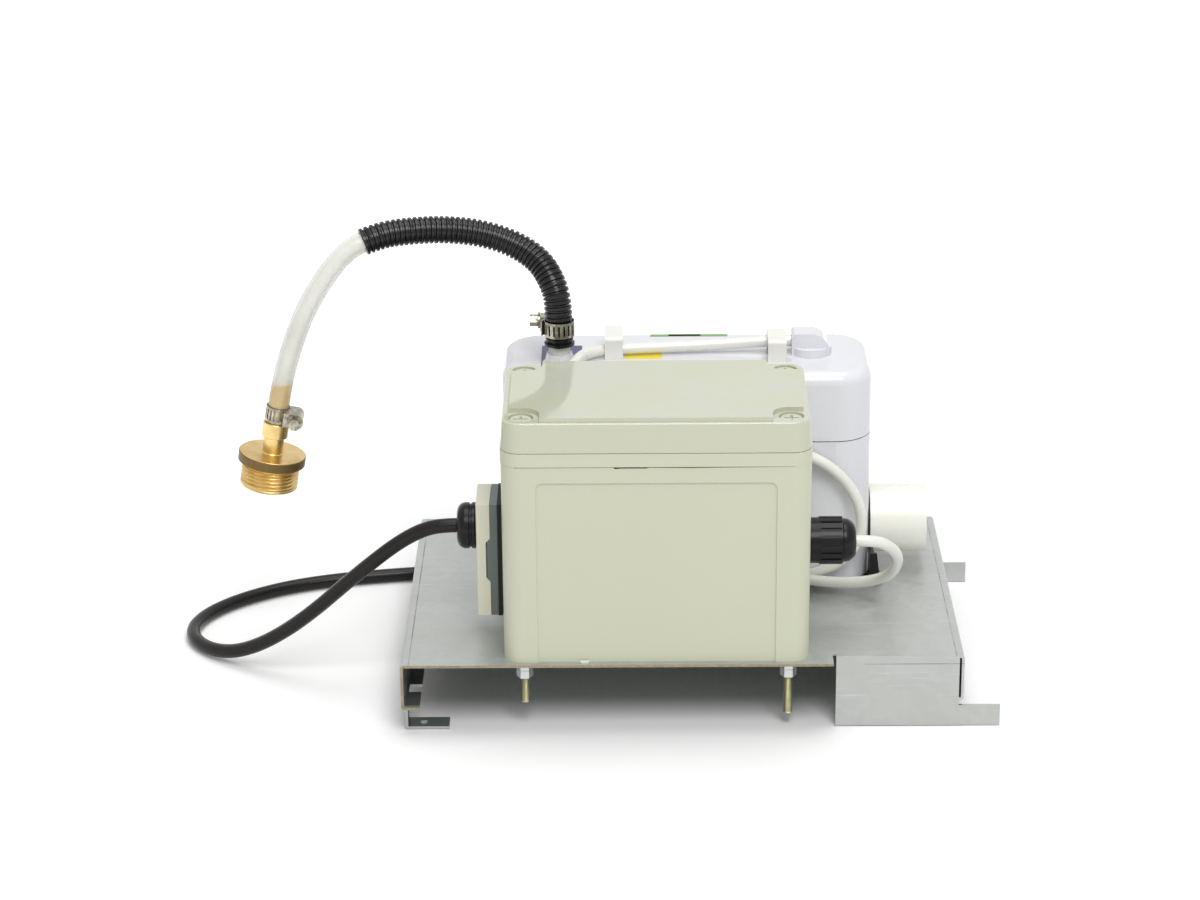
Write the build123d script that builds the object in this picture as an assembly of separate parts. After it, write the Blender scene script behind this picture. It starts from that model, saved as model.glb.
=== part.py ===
from build123d import *
import os
from math import cos, pi, radians, sin, tan

os.makedirs("parts", exist_ok=True)

# Condensate pump on a folded mounting tray, with its junction box, lead and discharge hose.
# Millimetres. X runs along the tray, Y to the back, Z up; the origin is on the floor,
# under the middle of the tray and its end tabs.

# Folded tray
sheet = 1.5
tray_width = 312.0
tray_depth = 215.0
tray_top = 42.5
flange_drop = 27.0
lip_width = 10.0
bend_radius = 2.0
panel_free_edge = 239.0        # the front edge stays unfolded over this length
apron_setback = 10.5
relief_gap = 2.0
tab_reach = 20.4
tab_height = 12.3
foot_length = 24.3
foot_width = 12.2
foot_from_edge = 8.8
foot_hole_d = 4.5
notch_start = 21.0
notch_width = 10.0
notch_bridge = 3.0
apron_tongue = 8.0             # flat part of the panel that carries each end fold
apron_end_gap = 1.2            # to the right-hand flange
bolt_clear = 0.5               # on the diameter of a bolt hole

# Junction box, drafted, with a screwed lid
box_centre_x = 141.5           # from the tray's left face
box_pump_gap = 12.0            # between the two cases, a lane for the pump cable
box_length = 168.8             # at the rim
box_depth = 97.6
box_height = 123.9             # tray to lid joint
box_corner = 11.0
box_wall = 3.0
box_draft = 1.0                # degrees, front and back
box_side_draft = 0.1
rim_band = 7.6
rim_proud = 0.3
panel_recess = 1.0
panel_inset = 18.9             # plain strip left at each end of the front face
panel_drop = 9.4               # plain strip under the rim band
panel_corner = 4.0
column_corner = 4.0
column_gap = 1.5               # from a corner column's top to the lid joint
seat_edge = 1.5                # margin of the flat seats round connector and gland
seat_proud = 0.2
seat_depth = 5.0
thread_clear = 0.3
lid_height = 17.1
lid_taper = 3.5                # degrees
lid_edge = 1.2
lid_boss = 2.6                 # raised middle of the lid
lid_clear = 0.3
boss_corner = 3.0
boss_strip_x = 3.6             # flat strip left round the raised middle
boss_strip_y = 1.6
boss_cut_x = 20.5              # each corner's recess in the raised middle
boss_cut_y = 17.3
boss_cut_corner = 9.0
screw_inset_x = 11.4           # lid screws above and studs below share the corner channels
screw_inset_y = 11.05
screw_head_d = 13.0
screw_head_h = 3.4
screw_head_sunk = 0.9
screw_head_clear = 0.6
screw_slot_l = 8.0
screw_slot_w = 1.5
screw_slot_deep = 1.5
screw_shank_d = 7.4
screw_reach = 26.0
running = 0.05                 # radial running clearance of pins and shafts
stud_d = 5.0
stud_head_d = 7.0
stud_head_h = 3.0
stud_end_left = 15.0
stud_end_right = 7.5
nut_flats = 8.0
nut_height = 4.7
nut_gap = 0.2
washer_d = 10.0
washer_t = 1.0

# Terminals inside the junction box
rail_width = 35.0
rail_height = 7.5
rail_length = 120.0
rail_sheet = 1.0
rail_screw_d = 4.0
rail_screw_from_end = 8.0
rail_screw_deep = 2.4          # into the box floor
terminal_count = 6
terminal_pitch = 8.2
terminal_height = 38.0
relay_length = 36.0
relay_height = 52.0
relay_gap = 3.0
terminals_from_end = 18.0

# Cable gland on the right wall
gland_height = 53.0            # above the tray
gland_thread_d = 20.0
gland_collar_d = 25.7
gland_collar_t = 6.4
gland_nut_d = 26.9
gland_nut_l = 13.0
gland_nose_l = 7.5
gland_rib_count = 18

# Supply connector on the left wall
socket_width = 32.0
socket_bottom = 15.5           # above the tray
socket_tall = 66.0
gasket_t = 0.8
socket_flange = 6.4
plug_plate = 7.6
parting = 0.2
joggle = 2.3
joggle_tall = 21.0
core_margin = 5.0
core_depth = 11.0
pin_d = 3.5
pin_pitch = 7.5
pin_reach = 3.4
relief_d = 26.0
relief_length = 11.0
relief_height = 47.6           # axis of the strain relief above the socket's lower end

# Pump case
pump_left = 54.5               # from the tray's left face
pump_front = 111.0             # from the tray's front edge
pump_length = 211.5
pump_depth = 76.0
pump_corner = 21.0
pump_wall = 3.0
tank_height = 88.2             # tray to seam
cover_height = 41.3
cover_edge = 7.0
seam_gap = 0.6
deck_t = 4.0
bracket_tall = 19.0
bracket_width = 17.0
bracket_foot = 7.0
bracket_t = 2.5
bracket_base = 1.6
bracket_web = 2.0

# Inlet pipe
inlet_d = 40.0
inlet_wall = 2.0
inlet_length = 34.0
inlet_height = 26.5            # axis above the tray
inlet_step = 0.5
seal_t = 1.2

# Motor, impeller and discharge
motor_x = 97.0                 # from the pump's left face
motor_d = 58.0
motor_height = 32.0
motor_cap = 4.0
rotor_d = 30.0
air_gap = 0.5
shaft_d = 6.0
volute_d = 52.0
volute_height = 16.0
volute_clear = 6.0             # above the tank floor
impeller_d = 36.0
blade_count = 7
blade_t = 1.6
chamber_clear = 3.0            # round the impeller
volute_wall = 3.0
column_d = 20.0
outlet_x = 33.0                # from the pump's left face
outlet_y = 19.0                # from the pump's front face
riser_d = 12.0
riser_bore = 8.0
valve_d = 22.0
valve_ball_d = 11.0
valve_seat_height = 14.0
valve_lift = 4.0
spigot_base_d = 20.0
spigot_d = 10.4
spigot_bore = 7.0
spigot_reach = 24.0            # inside the hose
spigot_stub = 7.5              # bare height above the cover

# Float switch: a ring float on a reed stem
float_x = 160.0                # from the pump's left face
float_d = 32.0
float_height = 22.0
float_travel = 25.0
float_rest = 8.0               # above the tank floor
stem_d = 8.0
clip_gap = 0.2
clip_thick = 2.0

# Cable entry and clips on the cover
entry_x = 177.5
entry_y = 38.5
entry_d = 24.0
entry_base = 4.7
entry_tall = 13.0
entry_wide = 14.0
clip_width = 10.5
clip_span = 24.0
clip_tall = 13.2
clip_t = 1.6
clip_places = [(64.0, 27.0), (157.5, 20.5)]

# Cords and hoses
cable_d = 6.5
lead_d = 8.2
conduit_d = 15.8
hose_d = 12.2
coil_radius = 45.0
coil_turns = 3
coil_clear = 0.3

# Worm-drive hose clamps
clamp_width = 9.0
clamp_band_t = 0.7
clamp_screw_d = 6.0
clamp_worm_offset = 4.2        # band face to screw axis
clamp_head_d = 9.4
clamp_head_l = 6.0
clamp_house_l = 14.0
clamp_slots = 18

# Brass hose fitting
fitting_tilt = 9.1             # degrees from plumb
barb_d = 9.4
barb_length = 19.5
collar_d = 15.0
collar_length = 8.8
neck_d = 11.7
neck_length = 10.0
flange_d = 38.6
flange_t = 6.0
thread_d = 33.2
thread_length = 14.5

# Mains plug at the lead's far end
plug_body_d = 28.0
plug_body_l = 34.0
plug_pin_d = 4.8
plug_pin_l = 19.0
plug_pin_pitch = 19.0

# Worked-out places
left = -(tray_width + tab_reach) / 2
right = left + tray_width
front = -tray_depth / 2
back = front + tray_depth
tray_under = tray_top - sheet
lip_level = tray_top - flange_drop
box_x = left + box_centre_x
box_y = front + pump_front - box_pump_gap - box_depth / 2
screw_pitch_x = box_length - 2 * screw_inset_x
screw_pitch_y = box_depth - 2 * screw_inset_y
joint_z = tray_top + box_height
band_z = joint_z - rim_band
draft_in = (band_z - tray_top) * tan(radians(box_draft))
side_in = (band_z - tray_top) * tan(radians(box_side_draft))
lid_top = joint_z + lid_height
lid_in = lid_height * tan(radians(lid_taper))
pump_x0 = left + pump_left
pump_x1 = pump_x0 + pump_length
pump_y0 = front + pump_front
pump_y1 = pump_y0 + pump_depth
pump_cx = (pump_x0 + pump_x1) / 2
pump_cy = (pump_y0 + pump_y1) / 2
seam_z = tray_top + tank_height
cover_top = seam_z + cover_height
deck_z = seam_z - deck_t
inlet_z = tray_top + inlet_height
motor_cx = pump_x0 + motor_x
outlet_cx = pump_x0 + outlet_x
outlet_cy = pump_y0 + outlet_y
float_cx = pump_x0 + float_x
entry_cx = pump_x0 + entry_x
entry_cy = pump_y0 + entry_y
gland_z = tray_top + gland_height
socket_z0 = tray_top + socket_bottom
socket_z1 = socket_z0 + socket_tall
relief_z = socket_z0 + relief_height


def fit(x, y, z):
    """A point given from the tray's left face, front edge and the floor."""
    return (left + x, front + y, z)


def block(x0, x1, y0, y1, z0, z1):
    size = Box(abs(x1 - x0), abs(y1 - y0), abs(z1 - z0))
    return Pos((x0 + x1) / 2, (y0 + y1) / 2, (z0 + z1) / 2) * size


def post(x, y, z0, z1, d):
    return Pos(x, y, (z0 + z1) / 2) * Cylinder(d / 2, z1 - z0)


def bar_x(x0, x1, y, z, d):
    return Pos((x0 + x1) / 2, y, z) * Rot(0, 90, 0) * Cylinder(d / 2, abs(x1 - x0))


def rounded(cx, cy, z0, z1, length, depth, corner):
    plan = RectangleRounded(length, depth, corner)
    return Pos(cx, cy, z0) * extrude(plan, amount=z1 - z0)


def drafted(cx, cy, z0, z1, low, high):
    """A rounded block whose plan changes from low to high, each (length, depth, corner)."""
    plans = [Pos(cx, cy, z) * RectangleRounded(*plan) for z, plan in ((z0, low), (z1, high))]
    return loft(plans, ruled=True)


def spun(profile, at):
    """A turned piece: profile is (radius, height) pairs round the Z axis of the place at."""
    outline = Plane.XZ * make_face(Polyline(*profile, close=True))
    return at * revolve(outline, Axis.Z)


def folded(points, plane, length):
    """Folded sheet: a path along its outer face, thickened inward and extruded."""
    path = FilletPolyline(*points, radius=bend_radius)
    face = make_face(offset(path, amount=sheet, side=Side.RIGHT, closed=True))
    return extrude(plane * face, amount=length)


def along_y(y0):
    """Sketch plane of X and Z whose extrusion starts at y0 and runs to the front."""
    return Plane.XZ.offset(-y0)


def save(name, *solids):
    body = solids[0] if len(solids) == 1 else Compound(children=list(solids))
    export_step(body, f"parts/{name}.step")


def arc_radii(points):
    """The bend radius at each inner point of a cord: as large as its two runs allow."""
    vectors = [Vector(*p) for p in points]
    radii = []
    for a, b, c in zip(vectors, vectors[1:], vectors[2:]):
        shorter = min((b - a).length, (c - b).length)
        turn = (b - a).get_angle(c - b)
        radii.append(0.45 * shorter / tan(radians(turn) / 2))
    return radii


def cord(name, points, d):
    """A cord's tube: straight runs joined by tangent arcs."""
    radii = arc_radii(points)
    path = FilletPolyline(*points, radius=radii)
    tube = sweep(Plane(path @ 0, z_dir=path % 0) * Circle(d / 2), path=path)
    expected = pi * d * d / 4 * path.length
    sizes = " ".join(f"{r:.0f}" for r in radii)
    print(f"{name}: length {path.length:.0f}, volume {tube.volume / expected:.4f}, radii {sizes}")
    return tube


# Tray: a folded galvanised channel with lips. The right end of its front and rear edges is
# folded down to the floor and ends in a tab; the left end stands on two small feet.
channel_path = [
    (left + lip_width, lip_level),
    (left, lip_level),
    (left, tray_top),
    (right, tray_top),
    (right, lip_level),
    (right - lip_width, lip_level),
]
apron_x0 = left + panel_free_edge + relief_gap
apron_x1 = right - sheet - apron_end_gap
apron_y = front + apron_setback


def apron(y, towards):
    """The end fold with its tab; towards is +1 where the panel lies behind the fold."""
    path = [(y + towards * apron_tongue, tray_top), (y, tray_top), (y, 0)]
    points = path if towards < 0 else path[::-1]
    wall = folded(points, Plane.YZ.offset(apron_x0), apron_x1 - apron_x0)
    inner = y + towards * sheet
    tab = block(apron_x1 - relief_gap, right + tab_reach, y, inner, 0, tab_height)
    return wall + tab


def foot(y0):
    """A floor pad joined to the lip by an upright, with a fixing hole."""
    path = [
        (left + sheet + foot_length, 0),
        (left + sheet, 0),
        (left + sheet, lip_level + sheet),
    ]
    pad = folded(path, along_y(y0 + foot_width), foot_width)
    hole = post(left + lip_width + sheet, y0 + foot_width / 2, -1, 2 * sheet, foot_hole_d)
    return pad - hole


def notch(y0):
    """A cut in the lip, open to its free edge."""
    x0 = left + notch_bridge
    return block(x0, left + lip_width + 1, y0, y0 + notch_width, lip_level - 1, lip_level + 2 * sheet)


tray = folded(channel_path, along_y(back), tray_depth)
tray -= block(left + panel_free_edge, right + 1, front - 1, apron_y, -1, tray_top + 1)
relief_x = left + panel_free_edge
tray -= block(relief_x, relief_x + relief_gap, apron_y - 1, apron_y + 2 * relief_gap, 0, tray_top + 1)
tray += apron(apron_y, 1)
tray += apron(back, -1)
tray += foot(front + foot_from_edge)
tray += foot(back - foot_from_edge - foot_width)
tray -= notch(front + notch_start)
tray -= notch(back - notch_start - notch_width)
screw_places = {
    f"{depth}_{side}": (box_x + sx * screw_pitch_x / 2, box_y + sy * screw_pitch_y / 2)
    for depth, sy in (("front", -1), ("back", 1))
    for side, sx in (("left", -1), ("right", 1))
}
for x, y in screw_places.values():
    tray -= post(x, y, tray_under - 1, tray_top + 1, stud_d + bolt_clear)
save("tray", tray)

# Junction box: drafted shell with corner columns for the lid screws, a proud rim band and a
# shallow panel recess front and back.
rim_plan = (box_length, box_depth, box_corner)
foot_plan = (box_length - 2 * side_in, box_depth - 2 * draft_in, box_corner - draft_in / 2)


def inset(plan, amount):
    return (plan[0] - 2 * amount, plan[1] - 2 * amount, max(plan[2] - amount, 1.0))


box_floor = tray_top + box_wall
body_outer = drafted(box_x, box_y, tray_top, band_z, foot_plan, rim_plan)
rim_outer = rounded(box_x, box_y, band_z, joint_z, *inset(rim_plan, -rim_proud))
wall_outer = body_outer + rim_outer
body_skin = drafted(
    box_x, box_y, tray_top - 1, band_z, inset(foot_plan, panel_recess), inset(rim_plan, panel_recess)
)
panel_top = band_z - panel_drop
panel_plan = RectangleRounded(box_length - 2 * panel_inset, 2 * (panel_top - tray_top), panel_corner)
panel_slab = extrude(along_y(back) * Pos(box_x, tray_top) * panel_plan, amount=2 * tray_depth)
cavity = drafted(
    box_x, box_y, box_floor, joint_z + 1, inset(foot_plan, box_wall), inset(rim_plan, box_wall)
)
column_x = screw_inset_x + screw_head_d / 2
column_y = screw_inset_y + screw_head_d / 2
column_plan = RectangleRounded(2 * column_x, 2 * column_y, column_corner)


def corner_column(sx, sy, z0, z1):
    x = box_x + sx * box_length / 2
    y = box_y + sy * box_depth / 2
    return Pos(x, y, z0) * extrude(column_plan, amount=z1 - z0)


columns = [
    corner_column(sx, sy, box_floor, joint_z - column_gap) & cavity for sx in (-1, 1) for sy in (-1, 1)
]
enclosure_base = wall_outer - (panel_slab - body_skin) - cavity
for column in columns:
    enclosure_base += column
for x, y in screw_places.values():
    enclosure_base -= post(x, y, box_floor, joint_z + 1, screw_shank_d + 2 * running)
    enclosure_base -= post(x, y, tray_top - 1, box_floor + 1, stud_d + 2 * running)

# Flat seats for the connector and the gland, and the holes behind them
socket_cy = box_y
seat_left = box_x - box_length / 2 - seat_proud
seat_right = box_x + box_length / 2 + seat_proud
socket_seat = block(
    seat_left, seat_left + seat_depth, socket_cy - socket_width / 2 - seat_edge,
    socket_cy + socket_width / 2 + seat_edge, socket_z0 - seat_edge, socket_z1 + seat_edge
)
core_y = socket_width / 2 - core_margin
core_z0 = socket_z0 + core_margin
core_z1 = socket_z1 - core_margin
gland_seat = bar_x(seat_right - seat_depth, seat_right, box_y, gland_z, gland_collar_d + 2)
enclosure_base += (socket_seat - cavity) + (gland_seat - cavity)
core_hole_x = seat_left + box_wall + seat_depth
enclosure_base -= block(
    seat_left - 1, core_hole_x, socket_cy - core_y, socket_cy + core_y, core_z0, core_z1
)
enclosure_base -= bar_x(seat_right - 8, seat_right + 1, box_y, gland_z, gland_thread_d + thread_clear)

# Lid: a tapered cap with a raised middle and four screw corners
lid_plan = rim_plan
lid_high = inset(rim_plan, lid_in)
lid_skirt = drafted(box_x, box_y, joint_z + lid_clear, lid_top, lid_plan, lid_high)
lid_skirt = fillet(lid_skirt.edges().group_by(Axis.Z)[-1], radius=lid_edge)
boss_plan = RectangleRounded(
    lid_high[0] - 2 * boss_strip_x, lid_high[1] - 2 * boss_strip_y, boss_corner
)
boss = Pos(box_x, box_y, lid_top - 0.1) * extrude(boss_plan, amount=lid_boss + 0.1)
for sx in (-1, 1):
    for sy in (-1, 1):
        x = box_x + sx * lid_high[0] / 2
        y = box_y + sy * lid_high[1] / 2
        top = lid_top + lid_boss + 1
        boss -= rounded(x, y, lid_top - 1, top, 2 * boss_cut_x, 2 * boss_cut_y, boss_cut_corner)
lid_hollow = drafted(
    box_x, box_y, joint_z - 1, lid_top - box_wall, inset(rim_plan, box_wall),
    inset(lid_high, box_wall)
)
enclosure_lid = (lid_skirt + boss) - lid_hollow
for sx in (-1, 1):
    for sy in (-1, 1):
        column = corner_column(sx, sy, joint_z + lid_clear, lid_top - 1) & lid_hollow
        enclosure_lid += column
head_seat = lid_top - screw_head_h - screw_head_sunk
for x, y in screw_places.values():
    enclosure_lid -= post(x, y, joint_z - 1, lid_top + 1, screw_shank_d + 2 * running)
    enclosure_lid -= post(x, y, head_seat, lid_top + 1, screw_head_d + screw_head_clear)
save("enclosure_lid", enclosure_lid)


def lid_screw(x, y):
    """A captive plastic lid screw: broad slotted head on a stepped shank."""
    seat = head_seat + running
    top = seat + screw_head_h
    profile = [
        (0, lid_top - screw_reach),
        (screw_shank_d / 2 - 1.2, lid_top - screw_reach),
        (screw_shank_d / 2, lid_top - screw_reach + 2),
        (screw_shank_d / 2, seat),
        (screw_head_d / 2, seat),
        (screw_head_d / 2, top - 0.8),
        (screw_head_d / 2 - 0.8, top),
        (0, top),
    ]
    screw = spun(profile, Pos(x, y, 0))
    for length, width in ((screw_slot_l, screw_slot_w), (screw_slot_w, screw_slot_l)):
        screw -= Pos(x, y, top) * Box(length, width, 2 * screw_slot_deep)
    return screw


for place, (x, y) in screw_places.items():
    save(f"lid_screw_{place}", lid_screw(x, y))

# Studs through the box floor and the tray, each with a washer, a nut and a lock nut below
studs = []
nuts = []
for x, y in screw_places.values():
    end = stud_end_left if x < box_x else stud_end_right
    head = post(x, y, box_floor, box_floor + stud_head_h, stud_head_d)
    studs.append(post(x, y, end, box_floor + 1, stud_d) + head)
    washer = post(x, y, tray_under - washer_t, tray_under, washer_d)
    hexagon = RegularPolygon(nut_flats / 2, 6, major_radius=False)
    nut_low = tray_under - washer_t - 2 * nut_height
    nut = washer
    for level in (0, 1):
        tall = nut_height - nut_gap * (1 - level)
        nut += Pos(x, y, nut_low + level * nut_height) * extrude(hexagon, amount=tall)
    nuts.append(nut - post(x, y, nut_low - 1, tray_under + 1, stud_d))
save("mounting_studs", *studs)
save("stud_nuts", *nuts)


# Cable gland: threaded body with a collar, a ribbed dome nut, a grommet and an inner lock nut
gland_face = seat_right
gland_inner = seat_right - 12.0
gland_turn = Pos(gland_face, box_y, gland_z) * Rot(0, 90, 0)
gland_bore = cable_d + 0.1
body_profile = [
    (gland_bore / 2 + 1.4, gland_inner - gland_face),
    (gland_thread_d / 2, gland_inner - gland_face),
    (gland_thread_d / 2, 0),
    (gland_collar_d / 2, 0),
    (gland_collar_d / 2, gland_collar_t),
    (gland_thread_d / 2, gland_collar_t),
    (gland_thread_d / 2, gland_collar_t + gland_nut_l - 3),
    (gland_bore / 2 + 1.4, gland_collar_t + gland_nut_l - 3),
]
save("gland_body", spun(body_profile, gland_turn))
nose_start = gland_collar_t + gland_nut_l
nose_end = nose_start + gland_nose_l
nut_outline = Polyline(
    (gland_thread_d / 2, gland_collar_t),
    (gland_nut_d / 2, gland_collar_t),
    (gland_nut_d / 2, nose_start),
    (gland_nut_d / 2 - 1.2, nose_start + 0.6),
)
nose = ThreePointArc(
    nut_outline @ 1,
    (gland_nut_d / 2 - 3.0, nose_end - 1.8),
    (gland_nut_d / 2 - 5.4, nose_end),
)
inside = Polyline(
    nose @ 1,
    (gland_bore / 2 + 0.6, nose_end),
    (gland_bore / 2 + 0.6, nose_start),
    (gland_thread_d / 2, nose_start - 2),
    (gland_thread_d / 2, gland_collar_t),
)
gland_nut = revolve(Plane.XZ * make_face([nut_outline, nose, inside]), Axis.Z)
rib_middle = gland_collar_t + gland_nut_l / 2
rib_cut = Pos(gland_nut_d / 2 + 0.5, 0, rib_middle) * Box(2.4, 1.3, gland_nut_l - 1.5)
gland_nut -= [Rot(0, 0, 360 / gland_rib_count * i) * rib_cut for i in range(gland_rib_count)]
save("gland_nut", gland_turn * gland_nut)
grommet_profile = [
    (gland_bore / 2, 2),
    (gland_bore / 2 + 1.4, 2),
    (gland_bore / 2 + 1.4, gland_collar_t + gland_nut_l - 3),
    (gland_bore / 2 + 0.6, nose_start),
    (gland_bore / 2, nose_start),
]
save("gland_grommet", spun(grommet_profile, gland_turn))
lock_hex = RegularPolygon(gland_collar_d / 2, 6, major_radius=False)
wall_back = box_x + box_length / 2 - box_wall - side_in * (band_z - gland_z) / (band_z - tray_top)
lock_x = wall_back - 5.2
lock_nut = Pos(lock_x, box_y, gland_z) * Rot(0, 90, 0) * extrude(lock_hex, amount=5)
lock_nut -= bar_x(lock_x - 1, lock_x + 7, box_y, gland_z, gland_thread_d)
save("gland_lock_nut", lock_nut & cavity)

# Supply connector: gasket, fixed socket with a core through the wall, and the plug plate.
# The parting line steps outwards in the middle of the plate.
gasket_x = seat_left - gasket_t
socket_mid = (socket_z0 + socket_z1) / 2
step_low = socket_mid - joggle_tall / 2
step_high = socket_mid + joggle_tall / 2
socket_y0 = socket_cy - socket_width / 2
socket_y1 = socket_cy + socket_width / 2


def plate(profile):
    """A plate from (outward depth, height) pairs, as wide as the socket, with soft corners."""
    points = [(gasket_x - depth, z) for depth, z in profile]
    face = make_face(Polyline(*points, close=True))
    slab = extrude(along_y(socket_y1) * face, amount=socket_width)
    corners = slab.edges().filter_by(Axis.Z).group_by(Axis.X)[0]
    return fillet(corners, radius=1.2)


gasket = block(gasket_x, seat_left, socket_y0 + 0.5, socket_y1 - 0.5, socket_z0 + 0.5, socket_z1 - 0.5)
gasket -= block(gasket_x - 1, seat_left + 1, socket_cy - core_y, socket_cy + core_y, core_z0, core_z1)
save("socket_gasket", gasket)
socket = plate([
    (0, socket_z0),
    (socket_flange, socket_z0),
    (socket_flange, step_low - joggle),
    (socket_flange + joggle, step_low),
    (socket_flange + joggle, step_high),
    (socket_flange, step_high + joggle),
    (socket_flange, socket_z1),
    (0, socket_z1),
])
core_end = gasket_x + core_depth
socket += block(
    gasket_x - 1, core_end, socket_cy - core_y + 0.2, socket_cy + core_y - 0.2,
    core_z0 + 0.2, core_z1 - 0.2
)
pin_places = [socket_mid + i * pin_pitch for i in (-1, 0, 1)]
pin_outer = gasket_x - socket_flange - joggle - pin_reach
for z in pin_places:
    socket -= bar_x(pin_outer, core_end + 1, socket_cy, z, pin_d)
save("supply_socket", socket)
save("socket_pins", *[bar_x(pin_outer, core_end + 6, socket_cy, z, pin_d) for z in pin_places])
seam = socket_flange + parting
plug_outer = seam + plug_plate
plug = plate([
    (seam, socket_z0),
    (plug_outer, socket_z0),
    (plug_outer, socket_z1),
    (seam, socket_z1),
    (seam, step_high + joggle),
    (seam + joggle, step_high),
    (seam + joggle, step_low),
    (seam, step_low - joggle),
])
for z in pin_places:
    plug -= bar_x(pin_outer - 0.3, gasket_x, socket_cy, z, pin_d + 2 * running)
save("supply_plug", plug)
relief_x = gasket_x - plug_outer
relief_end = relief_x - relief_length
relief_r = relief_d / 2
relief_outline = Polyline(
    (0, 0), (relief_r - 1, 0), (relief_r, 1), (relief_r, 2.6), (relief_r - 0.8, 3),
    (relief_r - 0.8, 3.9), (relief_r, 4.3), (relief_r, 6.6)
)
relief_dome = ThreePointArc(
    (relief_r, 6.6), (relief_r - 1.4, relief_length - 1.5), (relief_r - 4.5, relief_length)
)
relief_close = Polyline((relief_r - 4.5, relief_length), (0, relief_length), (0, 0))
relief = revolve(Plane.XZ * make_face([relief_outline, relief_dome, relief_close]), Axis.Z)
save("strain_relief", Pos(relief_x, socket_cy, relief_z) * Rot(0, -90, 0) * relief)

# Inside the box: top-hat rail with its screws, a row of terminals and a relay
rail_z = box_floor
half_rail = rail_width / 2
hat_in = half_rail - 5
rail_outline = [
    (-half_rail, rail_height), (-hat_in, rail_height), (-hat_in, rail_sheet),
    (hat_in, rail_sheet), (hat_in, rail_height), (half_rail, rail_height),
    (half_rail, rail_height - rail_sheet), (hat_in + rail_sheet, rail_height - rail_sheet),
    (hat_in + rail_sheet, 0), (-hat_in - rail_sheet, 0),
    (-hat_in - rail_sheet, rail_height - rail_sheet), (-half_rail, rail_height - rail_sheet),
]
rail_plane = Plane.YZ.offset(box_x - rail_length / 2) * Pos(box_y, rail_z)
rail = extrude(rail_plane * make_face(Polyline(*rail_outline, close=True)), amount=rail_length)
rail_screw_x = [box_x + s * (rail_length / 2 - rail_screw_from_end) for s in (-1, 1)]
rail_screws = []
for x in rail_screw_x:
    rail -= post(x, box_y, rail_z - 1, rail_z + 2, rail_screw_d)
    enclosure_base -= post(x, box_y, rail_z - rail_screw_deep, rail_z + 1, rail_screw_d)
    shank = post(x, box_y, rail_z - rail_screw_deep, rail_z + 2, rail_screw_d)
    head = post(x, box_y, rail_z + rail_sheet, rail_z + rail_sheet + 2.4, 2 * rail_screw_d)
    rail_screws.append(shank + head)
save("enclosure_base", enclosure_base)
save("din_rail", rail)
save("rail_screws", *rail_screws)


def on_rail(x0, width, height, shoulder):
    """A rail-mounted housing: stepped outline with a claw over each edge of the rail."""
    claw = half_rail + 0.2
    profile = [
        (-claw - 2.4, 3.5), (-claw, 3.5), (-claw, rail_height + 0.1), (claw, rail_height + 0.1),
        (claw, 3.5), (claw + 2.4, 3.5), (claw + 2.4, shoulder), (shoulder / 2, height),
        (-shoulder / 2, height), (-claw - 2.4, shoulder),
    ]
    plane = Plane.YZ.offset(x0) * Pos(box_y, rail_z)
    return extrude(plane * make_face(Polyline(*profile, close=True)), amount=width)


terminal_x0 = box_x - rail_length / 2 + terminals_from_end
terminals = []
for i in range(terminal_count):
    x0 = terminal_x0 + i * terminal_pitch
    mid = x0 + terminal_pitch / 2
    terminal = on_rail(x0, terminal_pitch - 0.3, terminal_height, 24)
    for sy in (-1, 1):
        top = rail_z + terminal_height
        terminal -= post(mid, box_y + sy * 8, top - 8, top + 1, 3.8)
    terminals.append(terminal)
save("terminal_blocks", *terminals)
relay_x0 = terminal_x0 + terminal_count * terminal_pitch + relay_gap
save("control_relay", on_rail(relay_x0, relay_length, relay_height, 30))

# Pump tank: rounded reservoir with a step for the motor deck and a hole for the inlet
case_plan = (pump_length, pump_depth, pump_corner)
tank_floor = tray_top + pump_wall
tank = rounded(pump_cx, pump_cy, tray_top, seam_z, *case_plan)
tank = fillet(tank.edges().group_by(Axis.Z)[0], radius=2.5)
tank -= rounded(pump_cx, pump_cy, tank_floor, seam_z + 1, *inset(case_plan, pump_wall))
deck_plan = inset(case_plan, pump_wall / 2)
tank -= rounded(pump_cx, pump_cy, deck_z, seam_z + 1, *deck_plan)
inlet_r = inlet_d / 2
spigot_r = inlet_r - inlet_step
tank -= bar_x(pump_x1 - 8, pump_x1 + 1, pump_cy, inlet_z, 2 * spigot_r + 2 * seal_t)
save("pump_tank", tank)

# Cover with rounded top edges, the outlet opening and the holes for the cable entry
cover = rounded(pump_cx, pump_cy, seam_z + seam_gap, cover_top, *case_plan)
cover = fillet(cover.edges().group_by(Axis.Z)[-1], radius=cover_edge)
hollow = rounded(
    pump_cx, pump_cy, seam_z - 1, cover_top - pump_wall, *inset(case_plan, pump_wall)
)
hollow = fillet(hollow.edges().group_by(Axis.Z)[-1], radius=cover_edge - pump_wall)
cover -= hollow
cover -= post(outlet_cx, outlet_cy, cover_top - 5, cover_top + 1, spigot_base_d + 0.6)
save("pump_cover", cover)
seal_plan = inset(case_plan, 0.8)
seal = rounded(pump_cx, pump_cy, seam_z, seam_z + seam_gap, *seal_plan)
seal -= rounded(pump_cx, pump_cy, seam_z - 1, seam_z + 1 + seam_gap, *inset(case_plan, pump_wall))
save("cover_seal", seal)


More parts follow.
